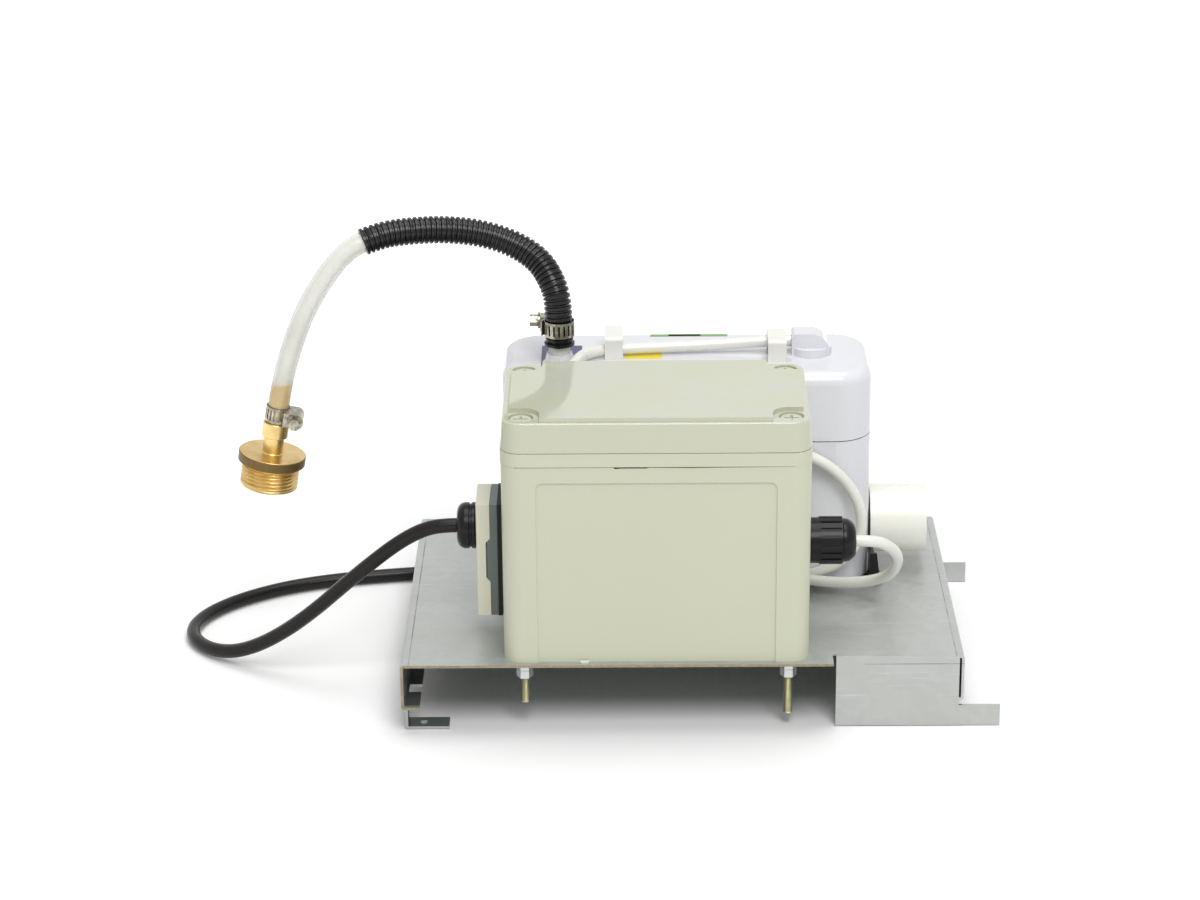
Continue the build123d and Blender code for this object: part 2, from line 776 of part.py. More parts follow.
def bracket(sx, y0, gusset_y):
    """A corner foot: an upright along the case's end, a base on the tray that follows the
    case's corner, and a gusset at the outer end."""
    wall = pump_x1 if sx > 0 else pump_x0
    y1 = y0 + bracket_width
    upright = block(wall, wall + sx * bracket_t, y0, y1, tray_top, tray_top + bracket_tall)
    x0 = wall - sx * bracket_foot
    x1 = wall + sx * bracket_foot
    base = block(x0, x1, y0, y1, tray_top, tray_top + bracket_base)
    profile = [
        (wall, tray_top), (wall + sx * (bracket_foot - 0.5), tray_top),
        (wall + sx * (bracket_t + 1.5), tray_top + bracket_tall), (wall, tray_top + bracket_tall),
    ]
    web_face = make_face(Polyline(*profile, close=True))
    web = extrude(along_y(gusset_y + bracket_web) * web_face, amount=bracket_web)
    return upright + (base - case_clear) + web


case_clear = rounded(pump_cx, pump_cy, tray_top - 1, seam_z, *inset(case_plan, -0.1))
brackets = []
for sx in (-1, 1):
    brackets.append(bracket(sx, pump_y0, pump_y0))
    brackets.append(bracket(sx, pump_y1 - bracket_width, pump_y1 - bracket_web))
save("pump_brackets", *brackets)

# Inlet: a plain pipe with a stepped spigot in a rubber sleeve
pipe_x0 = pump_x1 + seal_t
pipe_inner = inlet_d - 2 * inlet_wall
pipe = bar_x(pipe_x0, pump_x1 + inlet_length, pump_cy, inlet_z, inlet_d)
pipe += bar_x(pump_x1 - pump_wall - 3, pipe_x0 + 1, pump_cy, inlet_z, 2 * spigot_r)
pipe -= bar_x(pump_x1 - 10, pump_x1 + inlet_length + 1, pump_cy, inlet_z, pipe_inner)
save("inlet_pipe", pipe)
sleeve = bar_x(pump_x1 - pump_wall, pump_x1, pump_cy, inlet_z, 2 * spigot_r + 2 * seal_t)
sleeve += bar_x(pump_x1, pipe_x0, pump_cy, inlet_z, inlet_d + 1.4)
sleeve -= bar_x(pump_x1 - 10, pipe_x0 + 1, pump_cy, inlet_z, 2 * spigot_r)
save("inlet_seal", sleeve)

# Motor deck, with a boss and passages for the shaft, the riser and the float stem
deck = rounded(pump_cx, pump_cy, deck_z, seam_z, *inset(deck_plan, 0.2))
deck -= post(motor_cx, pump_cy, deck_z - 1, seam_z + 1, column_d - 6)
deck -= post(outlet_cx, outlet_cy, deck_z - 1, seam_z + 1, riser_d)
deck -= post(float_cx, pump_cy, deck_z - 1, seam_z + 1, stem_d)
save("motor_deck", deck)

# Motor: stator can with end bearings, rotor core, shaft down to the impeller
rotor_half = rotor_d / 2 + air_gap
bearing_r = shaft_d / 2 + running
motor_top = seam_z + motor_height
stator_profile = [
    (bearing_r, seam_z), (motor_d / 2 - 3, seam_z), (motor_d / 2, seam_z + 3),
    (motor_d / 2, motor_top - 6), (motor_d / 2 - 8, motor_top - 2), (rotor_half, motor_top),
    (bearing_r, motor_top), (bearing_r, motor_top - motor_cap), (rotor_half, motor_top - motor_cap),
    (rotor_half, seam_z + motor_cap), (bearing_r, seam_z + motor_cap),
]
motor_axis = Pos(motor_cx, pump_cy, 0)
save("motor_stator", spun(stator_profile, motor_axis))
volute_z0 = tank_floor + volute_clear
chamber_z0 = volute_z0 + volute_wall
chamber_z1 = volute_z0 + volute_height - volute_wall
core = post(motor_cx, pump_cy, seam_z + motor_cap + 2, motor_top - motor_cap - 2, rotor_d)
save("rotor_core", core - post(motor_cx, pump_cy, seam_z, motor_top, shaft_d))
save("pump_shaft", post(motor_cx, pump_cy, chamber_z0 + 1, motor_top - 0.5, shaft_d))
hub = post(0, 0, chamber_z0 + 1, chamber_z1 - 0.6, 2 * shaft_d)
disc = post(0, 0, chamber_z1 - 2.2, chamber_z1 - 0.6, impeller_d)
blade_path = ThreePointArc((shaft_d * 0.9, 0), (impeller_d * 0.31, -2.2), (impeller_d * 0.44, -6.8))
blade_face = make_face(offset(blade_path, amount=blade_t / 2, side=Side.BOTH, closed=True))
blade = Pos(0, 0, chamber_z0 + 1) * extrude(blade_face, amount=chamber_z1 - chamber_z0 - 2.4)
impeller = hub + disc
for i in range(blade_count):
    impeller += Rot(0, 0, 360 / blade_count * i) * blade
impeller -= post(0, 0, chamber_z0, chamber_z1, shaft_d)
save("impeller", motor_axis * impeller)

# Volute with its column up to the deck and a tangent outlet
volute_z1 = volute_z0 + volute_height
riser_z = (chamber_z0 + chamber_z1) / 2
column_bore = shaft_d + 2.0
chamber_r0 = impeller_d / 2 + chamber_clear
volute_profile = [
    (shaft_d + 2, volute_z0), (volute_d / 2 - 2, volute_z0), (volute_d / 2, volute_z0 + 2),
    (volute_d / 2, volute_z1 - 2), (volute_d / 2 - 2, volute_z1), (column_d / 2, volute_z1),
    (column_d / 2, deck_z), (column_d / 2 - 3, deck_z), (column_d / 2 - 3, seam_z),
    (column_bore / 2, seam_z), (column_bore / 2, chamber_z1), (chamber_r0, chamber_z1),
    (chamber_r0, chamber_z0), (shaft_d + 2, chamber_z0),
]
volute = spun(volute_profile, motor_axis)
stub_end = motor_cx - volute_d / 2 - 4
stub_clear = post(motor_cx, pump_cy, volute_z0 - 1, volute_z1 + 1, volute_d - 2)
volute += bar_x(motor_cx, stub_end, outlet_cy, riser_z, riser_d + 3) - stub_clear
volute -= bar_x(motor_cx - impeller_d / 4, stub_end - 1, outlet_cy, riser_z, riser_bore)
volute -= bar_x(stub_end + 6, stub_end - 1, outlet_cy, riser_z, riser_d)
save("volute", volute)
riser_path = FilletPolyline(
    (stub_end + 6, outlet_cy, riser_z), (outlet_cx, outlet_cy, riser_z),
    (outlet_cx, outlet_cy, seam_z), radius=12
)
riser_ring = Circle(riser_d / 2) - Circle(riser_bore / 2)
riser = sweep(Plane(riser_path @ 0, z_dir=riser_path % 0) * riser_ring, path=riser_path)
save("discharge_riser", riser)

# Non-return valve: a ball on a seat, under the outlet spigot
valve_top = cover_top - pump_wall - 1
seat_z = seam_z + valve_seat_height
ball_r = valve_ball_d / 2
chamber_r = ball_r + 1.0
ball_z = seat_z + (ball_r ** 2 - (riser_bore / 2) ** 2) ** 0.5 + running
stop_z = ball_z + ball_r + valve_lift
valve_profile = [
    (riser_bore / 2, seam_z), (valve_d / 2, seam_z), (valve_d / 2, valve_top),
    (riser_bore / 2, valve_top), (riser_bore / 2, stop_z + 2), (chamber_r, stop_z),
    (chamber_r, seat_z), (riser_bore / 2, seat_z),
]
outlet_axis = Pos(outlet_cx, outlet_cy, 0)
save("check_valve_body", spun(valve_profile, outlet_axis))
save("check_valve_ball", Pos(outlet_cx, outlet_cy, ball_z) * Sphere(ball_r))
hose_start = cover_top + spigot_stub
spigot_top = hose_start + spigot_reach
spigot_r0 = spigot_d / 2
spigot_profile = [
    (spigot_bore / 2, valve_top), (spigot_base_d / 2, valve_top), (spigot_base_d / 2, cover_top + 1.5),
    (spigot_base_d / 2 - 1.5, cover_top + 3), (conduit_d / 2 - 0.6, hose_start),
    (spigot_r0, hose_start), (spigot_r0, hose_start + 12), (spigot_r0 + 0.6, hose_start + 12.4),
    (spigot_r0 - 0.2, spigot_top), (spigot_bore / 2, spigot_top),
]
save("outlet_spigot", spun(spigot_profile, outlet_axis))

# Float switch: a reed stem under the deck, a ring float on it between two stop clips
stem_r = stem_d / 2
float_z0 = tank_floor + float_rest
stem_low = float_z0 - 4
stem = post(float_cx, pump_cy, stem_low, seam_z + 6, stem_d)
stem += post(float_cx, pump_cy, deck_z - 3, deck_z, 2 * stem_d)
stem += Pos(float_cx, pump_cy, seam_z) * extrude(RegularPolygon(stem_d, 6), amount=4)
save("float_stem", stem)
clip_low = float_z0 - clip_gap - clip_thick
clip_high = float_z0 + float_height + float_travel + clip_gap
stops = []
for z in (clip_low, clip_high):
    ring = post(float_cx, pump_cy, z, z + clip_thick, stem_d + 5)
    stops.append(ring - post(float_cx, pump_cy, z - 1, z + clip_thick + 1, stem_d))
save("stem_clip", *stops)
float_profile = [
    (stem_r + running, float_z0), (float_d / 2 - 2, float_z0), (float_d / 2, float_z0 + 2),
    (float_d / 2, float_z0 + float_height - 2), (float_d / 2 - 2, float_z0 + float_height),
    (stem_r + running, float_z0 + float_height),
]
save("float", spun(float_profile, Pos(float_cx, pump_cy, 0)))

# Cable entry: a round base with a flat left side and a hump that takes the cable
entry_r = entry_d / 2
entry_cut = entry_r - 0.8
entry = post(0, 0, 0, entry_base, entry_d)
entry -= block(-entry_r - 1, -entry_cut, -entry_r, entry_r, -1, entry_base + 1)
hump_outline = Polyline(
    (-entry_cut, 0), (-entry_cut, entry_tall - 1.5), (-entry_cut + 1.5, entry_tall),
    (entry_r * 0.15, entry_tall)
)
hump_back = ThreePointArc(
    (entry_r * 0.15, entry_tall), (entry_r * 0.62, entry_tall - 3.2), (entry_r * 0.86, entry_base)
)
hump_close = Polyline((entry_r * 0.86, entry_base), (entry_r * 0.86, 0), (-entry_cut, 0))
hump_face = make_face([hump_outline, hump_back, hump_close])
hump = extrude(along_y(entry_wide / 2) * hump_face, amount=entry_wide)
cable_entry_z = cover_top + entry_tall / 2 + 0.6
entry_cable_end = entry_cx - entry_cut + 5
entry_piece = Pos(entry_cx, entry_cy, cover_top) * (entry + hump)
entry_piece -= bar_x(entry_cx - entry_r - 1, entry_cable_end, entry_cy, cable_entry_z, cable_d + 0.1)
save("cable_entry", entry_piece)

# Two saddle clips on the cover: a strap bent up over the cable
clips = []
for x, y in clip_places:
    x0 = pump_x0 + x - clip_width / 2
    y0 = pump_y0 + y
    outer = block(x0, x0 + clip_width, y0, y0 + clip_span, cover_top, cover_top + clip_tall)
    outer = fillet(outer.edges().filter_by(Axis.X).group_by(Axis.Z)[-1], radius=2.5)
    inner = block(
        x0 - 1, x0 + clip_width + 1, y0 + clip_t, y0 + clip_span - clip_t,
        cover_top - 1, cover_top + clip_tall - clip_t
    )
    clips.append(outer - inner)
save("cable_clips", *clips)

# Pump cable: from the cable entry through both clips, down behind the box with its spare
# length in two easy bends, and round into the gland
cable_end_x = gland_face + gland_collar_t + 2


def on_cover(x, y, z):
    """From the case's left and front faces and the cover's top."""
    return (pump_x0 + x, pump_y0 + y, cover_top + z)


def in_lane(x, y, z):
    """From the box's middle, the pump case's front face and the tray."""
    return (box_x + x, pump_y0 + y, tray_top + z)


def at_gland(x, y, z):
    """From the gland's seat and axis."""
    return (gland_face + x, box_y + y, gland_z + z)


cable_route = [
    (entry_cable_end, entry_cy, cable_entry_z),
    (entry_cx - entry_r - 12, entry_cy, cable_entry_z),
    on_cover(133.5, 38.4, 5.6),
    on_cover(111.5, 37.4, 4.6),
    on_cover(88.5, 36.0, 4.2),
    on_cover(69.5, 34.3, 4.0),
    on_cover(56.0, 31.6, 4.1),
    on_cover(47.0, 23.0, 4.8),
    on_cover(43.5, 10.5, 6.2),
    in_lane(-49.5, -0.6, 133.3),
    in_lane(-53.5, -6.1, 122.0),
    in_lane(-54.7, -6.3, 104.5),
    in_lane(-51.0, -6.7, 85.5),
    in_lane(-39.5, -6.6, 68.5),
    in_lane(-20.5, -6.8, 60.1),
    in_lane(3.5, -6.6, 61.5),
    in_lane(26.5, -6.8, 70.7),
    in_lane(48.5, -6.6, 80.0),
    in_lane(70.5, -6.8, 85.5),
    in_lane(89.5, -7.0, 82.9),
    in_lane(105.5, -7.0, 72.0),
    in_lane(116.0, -7.0, 57.0),
    in_lane(119.9, -6.6, 39.5),
    in_lane(114.5, -5.8, 23.5),
    in_lane(101.5, -4.4, 11.9),
    in_lane(83.5, -3.6, 5.9),
    in_lane(60.5, -3.5, 3.9),
    in_lane(36.5, -3.6, 3.7),
    in_lane(15.5, -4.2, 6.1),
    in_lane(-0.5, -5.3, 14.0),
    in_lane(-7.5, -6.8, 27.5),
    in_lane(-2.5, -8.2, 41.0),
    in_lane(11.5, -9.3, 48.0),
    in_lane(27.5, -9.8, 45.3),
    in_lane(40.5, -10.1, 35.3),
    in_lane(52.5, -10.3, 23.3),
    in_lane(68.5, -10.4, 13.1),
    at_gland(2.3, 50.2, -45.7),
    at_gland(22.3, 47.6, -45.9),
    at_gland(39.8, 40.8, -40.9),
    at_gland(50.8, 28.8, -31.0),
    at_gland(54.3, 15.8, -17.5),
    at_gland(47.8, 5.2, -5.5),
    at_gland(36, 0, 0),
    (cable_end_x, box_y, gland_z),
]
save("pump_cable", cord("pump_cable", cable_route, cable_d))

# Discharge hose: a corrugated sleeve from the outlet spigot, then the bare hose to the
# brass fitting, which hangs a little out of plumb
sleeve_route = [
    (outlet_cx, outlet_cy, hose_start),
    fit(87.5, 130, 207),
    fit(84.5, 129.7, 222),
    fit(75.5, 129.2, 238),
    fit(59.5, 128.4, 250),
    fit(39.5, 127.4, 256.2),
    fit(17.5, 126.5, 256.6),
    fit(-4.5, 125.7, 253.2),
    fit(-23.2, 125.0, 247.0),
]
tilt = radians(fitting_tilt)
fitting_top = fit(-75.4, 122.0, 141.1)


def along_fitting(up):
    """A point on the fitting's axis, up its barb when up is positive."""
    x, y, z = fitting_top
    return (x + up * sin(tilt), y, z + up * cos(tilt))


hose_route = [
    fit(-16.5, 125.2, 249.2),
    fit(-31.5, 124.7, 243.2),
    fit(-44.5, 124.1, 228.5),
    fit(-56.5, 123.5, 208.5),
    fit(-65.3, 122.8, 185.5),
    along_fitting(barb_length + 2),
    fitting_top,
]
save("discharge_sleeve", cord("discharge_sleeve", sleeve_route, conduit_d))
save("discharge_hose", cord("discharge_hose", hose_route, hose_d))


def hose_clamp(place, inner_d, head_side):
    """Worm-drive clamp round the Z axis of the place: slotted band with its housing, and the
    worm screw lying across it on the +Y side, head towards head_side along X."""
    band_r = inner_d / 2 + clamp_band_t
    worm_y = band_r + clamp_worm_offset
    band = Cylinder(band_r, clamp_width)
    slot = Pos(band_r, 0, 0) * Box(3, 1.1, clamp_width - 3)
    band -= [Rot(0, 0, 360 / clamp_slots * (i + 0.5)) * slot for i in range(clamp_slots)]
    x0 = 3 * -head_side
    x1 = x0 + head_side * clamp_house_l
    house_r = clamp_screw_d / 2 + 1.2
    house = block(x0, x1, band_r * 0.6, worm_y, -clamp_width / 2 + 0.3, clamp_width / 2 - 0.3)
    house += bar_x(x0, x1, worm_y, 0, 2 * house_r)
    house -= Cylinder(band_r - clamp_band_t / 2, clamp_width)
    tail = Pos(band_r - clamp_band_t / 2, 3.4, 0) * Box(clamp_band_t, 6, clamp_width)
    band = band + house + Rot(0, 0, 150) * tail
    band -= Cylinder(inner_d / 2, 3 * clamp_width)
    band -= bar_x(x0 - 30, x0 + 30, worm_y, 0, clamp_screw_d + 2 * running)
    head_x0 = x1 + head_side * 0.2
    head = extrude(Plane.YZ * RegularPolygon(clamp_head_d / 2 - 1.2, 6), amount=head_side * clamp_head_l)
    screw = Pos(head_x0, worm_y, 0) * head
    screw += bar_x(head_x0, head_x0 + head_side * 1.2, worm_y, 0, clamp_head_d)
    screw += bar_x(x0, head_x0 + head_side, worm_y, 0, clamp_screw_d)
    slot_x = head_x0 + head_side * clamp_head_l
    screw -= Pos(slot_x, worm_y, 0) * Box(2.4, 1.2, clamp_head_d + 1)
    return place * band, place * screw


outlet_clamp_z = hose_start + 15.0
outlet_place = Pos(outlet_cx, outlet_cy, outlet_clamp_z)
outlet_band, outlet_screw = hose_clamp(outlet_place, conduit_d, -1)
save("outlet_clamp_band", outlet_band)
save("outlet_clamp_screw", outlet_screw)
lean = Rot(0, fitting_tilt, 0)
hose_place = Pos(*along_fitting(5.5)) * lean * Rot(0, 0, -90)
hose_band, hose_screw = hose_clamp(hose_place, hose_d, 1)
save("hose_clamp_band", hose_band)
save("hose_clamp_screw", hose_screw)

# Brass fitting: barb inside the hose, collar, neck, flange and pipe thread, bored through
bore_r = barb_d / 2 - 1.6
neck_end = -collar_length - neck_length
thread_top = neck_end - flange_t
thread_end = thread_top - thread_length
fitting_profile = [
    (bore_r, barb_length), (barb_d / 2 - 0.5, barb_length), (barb_d / 2 + 0.3, barb_length - 5),
    (barb_d / 2 - 0.3, barb_length - 5.2), (barb_d / 2 + 0.3, barb_length - 10),
    (barb_d / 2 - 0.3, barb_length - 10.2), (barb_d / 2, 0), (collar_d / 2 - 0.6, 0),
    (collar_d / 2, -0.6), (collar_d / 2, -collar_length), (neck_d / 2, -collar_length),
    (neck_d / 2, neck_end), (flange_d / 2 - 0.5, neck_end), (flange_d / 2, neck_end - 0.5),
    (flange_d / 2, thread_top), (thread_d / 2, thread_top), (thread_d / 2, thread_end + 1),
    (thread_d / 2 - 1, thread_end), (thread_d / 2 - 4, thread_end),
    (thread_d / 2 - 4, thread_top + 1.5), (bore_r, thread_top + 3.5),
]
fitting = spun(fitting_profile, Pos(*fitting_top) * lean)
save("hose_fitting", fitting)

# Mains lead: from the strain relief down to the floor, round and along the back of the tray,
# into a coil that stands on the floor behind it, and out to its plug
lead_z = lead_d / 2
coil_x = left + 112.0
coil_y = front + 275.0
coil_r0 = coil_radius - lead_d / 2 - coil_clear
coil_r1 = coil_radius + lead_d / 2 + coil_clear
coil_height = coil_turns * lead_d + 1.0
coil_front = coil_y - coil_radius


def from_relief(x, y, z):
    """From the strain relief's mouth: outwards, to the back and up."""
    return (relief_end - x, socket_cy + y, relief_z + z)


def behind(x, y):
    """On the floor, from the tray's left face and back edge."""
    return (left + x, back + y, lead_z)


lead_route = [
    (relief_end, socket_cy, relief_z),
    (relief_end - 10, socket_cy, relief_z),
    from_relief(21.4, 0.7, -4.0),
    from_relief(34.4, 2.8, -13.2),
    from_relief(49.4, 6.8, -27.4),
    from_relief(65.4, 12.6, -44.2),
    from_relief(82.4, 19.4, -62.6),
    from_relief(100.4, 27.2, -79.6),
    from_relief(119.4, 36.4, -92.8),
    from_relief(136.9, 45.8, -100.0),
    fit(-122.5, 108.0, lead_z),
    fit(-134.0, 124.0, lead_z),
    fit(-138.0, 143.0, lead_z),
    fit(-132.5, 163.5, lead_z),
    fit(-120.0, 181.0, lead_z),
    behind(-103.0, -18.5),
    behind(-82.0, -5.5),
    behind(-57.0, 2.5),
    behind(-30.0, 6.6),
    behind(0.0, 9.4),
    behind(32.0, 12.2),
    behind(62.0, 14.2),
    behind(88.0, 15.0),
    (coil_x, coil_front, lead_z),
]
save("mains_lead", cord("mains_lead", lead_route, lead_d))
coil_ring = post(coil_x, coil_y, 0, coil_height, 2 * coil_r1)
coil_ring -= post(coil_x, coil_y, -1, coil_height + 1, 2 * coil_r0)
save("mains_coil", coil_ring)
tail_z = coil_height - 0.5 - lead_z
plug_x0 = left + 216.0
plug_y = front + 245.0
plug_z = plug_body_d / 2
tail_route = [
    (coil_x, coil_front, tail_z),
    fit(134, 230.2, 19.6),
    fit(156, 233.2, 17.4),
    fit(178, 239.8, 14.9),
    (plug_x0 - 17, plug_y, plug_z),
    (plug_x0, plug_y, plug_z),
]
save("mains_tail", cord("mains_tail", tail_route, lead_d))
grip_r = lead_d / 2 + 1.6
body_r = plug_body_d / 2
plug_profile = [
    (0, 0), (grip_r - 0.6, 0), (grip_r, 1), (grip_r, 12), (body_r * 0.72, 20), (body_r, 26),
    (body_r, 26 + plug_body_l - 8), (body_r - 1, 26 + plug_body_l - 6), (0, 26 + plug_body_l - 6),
]
plug_face = plug_x0 + 26 + plug_body_l - 6
mains_plug = spun(plug_profile, Pos(plug_x0, plug_y, plug_z) * Rot(0, 90, 0))
for s in (-1, 1):
    y = plug_y + s * plug_pin_pitch / 2
    mains_plug += bar_x(plug_face - 1, plug_face + plug_pin_l, y, plug_z, plug_pin_d)
save("mains_plug", mains_plug)
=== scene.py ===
from math import cos, pi, radians, sin

import bpy
from mathutils import Matrix, Vector


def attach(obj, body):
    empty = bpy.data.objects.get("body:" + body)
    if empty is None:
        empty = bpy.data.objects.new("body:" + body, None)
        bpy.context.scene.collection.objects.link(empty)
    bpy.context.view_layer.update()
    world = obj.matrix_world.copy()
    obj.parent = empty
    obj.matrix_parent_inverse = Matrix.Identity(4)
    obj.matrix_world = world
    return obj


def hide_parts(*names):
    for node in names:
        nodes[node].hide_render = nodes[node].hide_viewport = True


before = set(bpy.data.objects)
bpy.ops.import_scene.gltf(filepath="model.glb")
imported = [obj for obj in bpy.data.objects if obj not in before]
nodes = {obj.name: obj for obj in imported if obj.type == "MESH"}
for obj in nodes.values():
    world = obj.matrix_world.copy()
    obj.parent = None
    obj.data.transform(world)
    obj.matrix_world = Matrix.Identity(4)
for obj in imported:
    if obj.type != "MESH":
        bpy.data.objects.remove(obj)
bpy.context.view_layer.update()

scene = bpy.context.scene

# ---------------------------------------------------------------------------------------------
# Camera. A long lens a little under two metres away, about 21 degrees above the tray.
# ---------------------------------------------------------------------------------------------
pitch, yaw, roll = radians(20.96), radians(0.52), radians(-0.49)
level_right = Vector((cos(yaw), sin(yaw), 0))
level_up = Vector((-sin(yaw) * sin(pitch), cos(yaw) * sin(pitch), cos(pitch)))
view_right = level_right * cos(roll) + level_up * sin(roll)
view_up = level_up * cos(roll) - level_right * sin(roll)
turned_to = Matrix((view_right, view_up, view_right.cross(view_up))).transposed().to_4x4()
camera_place = (-0.03945, -1.81277, 0.82255)
camera = bpy.data.objects.new("camera", bpy.data.cameras.new("camera"))
camera.data.lens = 102.0
camera.data.sensor_width = 36.0
camera.matrix_world = Matrix.Translation(camera_place) @ turned_to
scene.collection.objects.link(camera)
scene.camera = camera
scene.view_settings.view_transform = "Standard"


# ---------------------------------------------------------------------------------------------
# Studio. A white paper floor in a pale room, a weak lamp overhead and a stronger one high in
# front, a little to the right. The floor's glow and the room's full white are only for what
# is seen, straight or in a mirror or through something clear; they light nothing.
# ---------------------------------------------------------------------------------------------
def put(tree, kind, settings=None, inputs=None):
    """Adds a shader node; an input is a plain value, or a socket that is joined to it."""
    node = tree.nodes.new("ShaderNode" + kind)
    for name, value in (settings or {}).items():
        setattr(node, name, value)
    for name, value in (inputs or {}).items():
        if isinstance(value, bpy.types.NodeSocket):
            tree.links.new(value, node.inputs[name])
        else:
            node.inputs[name].default_value = value
    return node


def bare_material(name):
    """A material with an empty tree and its output."""
    made = bpy.data.materials.new(name)
    made.use_nodes = True
    made.node_tree.nodes.clear()
    return made, put(made.node_tree, "OutputMaterial")


def seen_directly(tree):
    """1 for what is seen, straight, mirrored or through something clear, and 0 for light."""
    rays = put(tree, "LightPath").outputs
    seen = put(tree, "Math", {"operation": "ADD"}, {0: rays["Is Camera Ray"], 1: rays["Is Glossy Ray"]})
    through = {0: seen.outputs[0], 1: rays["Is Transmission Ray"]}
    return put(tree, "Math", {"operation": "ADD", "use_clamp": True}, through).outputs[0]


floor_reach = 4.0
floor_drop = 0.0004
floor_mesh = bpy.data.meshes.new("floor")
corners = [(x * floor_reach, y * floor_reach, 0) for x, y in ((-1, -1), (1, -1), (1, 1), (-1, 1))]
floor_mesh.from_pydata(corners, [], [(0, 1, 2, 3)])
floor = bpy.data.objects.new("floor", floor_mesh)
floor.location.z = -floor_drop
scene.collection.objects.link(floor)
paper, paper_out = bare_material("floor_paper")
tree = paper.node_tree
sheen = put(tree, "TexNoise", inputs={"Scale": 3.0})
white_paper = put(tree, "MapRange", inputs={"Value": sheen.outputs["Fac"], "To Min": 0.95, "To Max": 0.96})
paper_light = put(tree, "BsdfDiffuse", inputs={"Color": white_paper.outputs[0]})
place = put(tree, "TexCoord").outputs["Object"]
away = put(tree, "VectorMath", {"operation": "LENGTH"}, {0: place}).outputs["Value"]
# The glow begins at the tray's edge, is faint at 0.3 m and whitens the paper from 1.2 m on
by_tray = put(tree, "MapRange", inputs={"Value": away, "From Min": 0.16, "From Max": 0.3, "To Max": 0.16})
far_off = put(tree, "MapRange", inputs={"Value": away, "From Min": 0.3, "From Max": 1.2, "To Max": 0.9})
glow = put(tree, "Math", {"operation": "ADD"}, {0: by_tray.outputs[0], 1: far_off.outputs[0]})
glow = put(tree, "Math", {"operation": "MULTIPLY"}, {0: glow.outputs[0], 1: seen_directly(tree)})
glow_light = put(tree, "Emission", inputs={"Color": (1, 1, 1, 1), "Strength": glow.outputs[0]})
floor_light = put(tree, "AddShader", inputs={0: paper_light.outputs[0], 1: glow_light.outputs[0]})
tree.links.new(floor_light.outputs[0], paper_out.inputs["Surface"])
floor_mesh.materials.append(paper)

world = bpy.data.worlds.new("studio")
scene.world = world
world.use_nodes = True
tree = world.node_tree
tree.nodes.clear()
room = put(tree, "Background", inputs={"Color": (1, 1, 1, 1), "Strength": 0.36})
backdrop = put(tree, "Background", inputs={"Color": (1, 1, 1, 1), "Strength": 1.0})
choice = put(tree, "MixShader", inputs={0: seen_directly(tree), 1: room.outputs[0], 2: backdrop.outputs[0]})
put(tree, "OutputWorld", inputs={"Surface": choice.outputs[0]})


def lamp(name, place, aim, size, power):
    """A square soft box of that size in metres, aimed at a point."""
    light = bpy.data.lights.new(name, "AREA")
    light.shape = "SQUARE"
    light.size = size
    light.energy = power
    made = bpy.data.objects.new(name, light)
    made.location = place
    made.rotation_euler = (Vector(aim) - Vector(place)).to_track_quat("-Z", "Y").to_euler()
    scene.collection.objects.link(made)


lamp("lamp_overhead", (0.1, 0.05, 2.0), (0, 0, 0.08), 1.2, 15)
lamp("lamp_front", (0.30, -1.55, 1.95), (0, 0, 0.1), 1.1, 31)


# ---------------------------------------------------------------------------------------------
# Pump cable. A glossy off-white round cable with a soft jacket, 6.5 mm thick, from the cable
# entry through both clips, down between the cases in two loops, and into the gland.
# ---------------------------------------------------------------------------------------------
def group(name, inputs, outputs):
    """A shader node group with named sockets; returns its tree and its two end nodes."""
    made = bpy.data.node_groups.new(name, "ShaderNodeTree")
    for socket, kind, value in inputs:
        face = made.interface.new_socket(name=socket, in_out="INPUT", socket_type="NodeSocket" + kind)
        face.default_value = value
    for socket, kind in outputs:
        made.interface.new_socket(name=socket, in_out="OUTPUT", socket_type="NodeSocket" + kind)
    return made, made.nodes.new("NodeGroupInput").outputs, made.nodes.new("NodeGroupOutput").inputs


def maths(tree, operation, a, b=0.0, clamp=False):
    """One sum of two values; clamp keeps it from 0 to 1."""
    return put(tree, "Math", {"operation": operation, "use_clamp": clamp}, {0: a, 1: b}).outputs[0]


def noise(tree, scale, detail=3.0, rough=0.5, where=None, squeeze=None):
    """Noise in the object's own metres; squeeze stretches it along an axis."""
    spot = where or put(tree, "TexCoord").outputs["Object"]
    if squeeze:
        spot = put(tree, "Mapping", {"vector_type": "TEXTURE"}, {"Vector": spot, "Scale": squeeze}).outputs[0]
    inputs = {"Vector": spot, "Scale": scale, "Detail": detail, "Roughness": rough}
    return put(tree, "TexNoise", inputs=inputs).outputs["Fac"]


def spread(tree, value, low, high, to_low=0.0, to_high=1.0):
    """The value with low..high stretched to to_low..to_high."""
    inputs = {"Value": value, "From Min": low, "From Max": high, "To Min": to_low, "To Max": to_high}
    return put(tree, "MapRange", inputs=inputs).outputs[0]


def blended(tree, factor, first, second):
    """The first colour where the factor is 0, the second where it is 1."""
    made = put(tree, "Mix", {"data_type": "RGBA"})
    for socket, value in ((0, factor), (6, first), (7, second)):
        if isinstance(value, bpy.types.NodeSocket):
            tree.links.new(value, made.inputs[socket])
        else:
            made.inputs[socket].default_value = value
    return made.outputs[2]


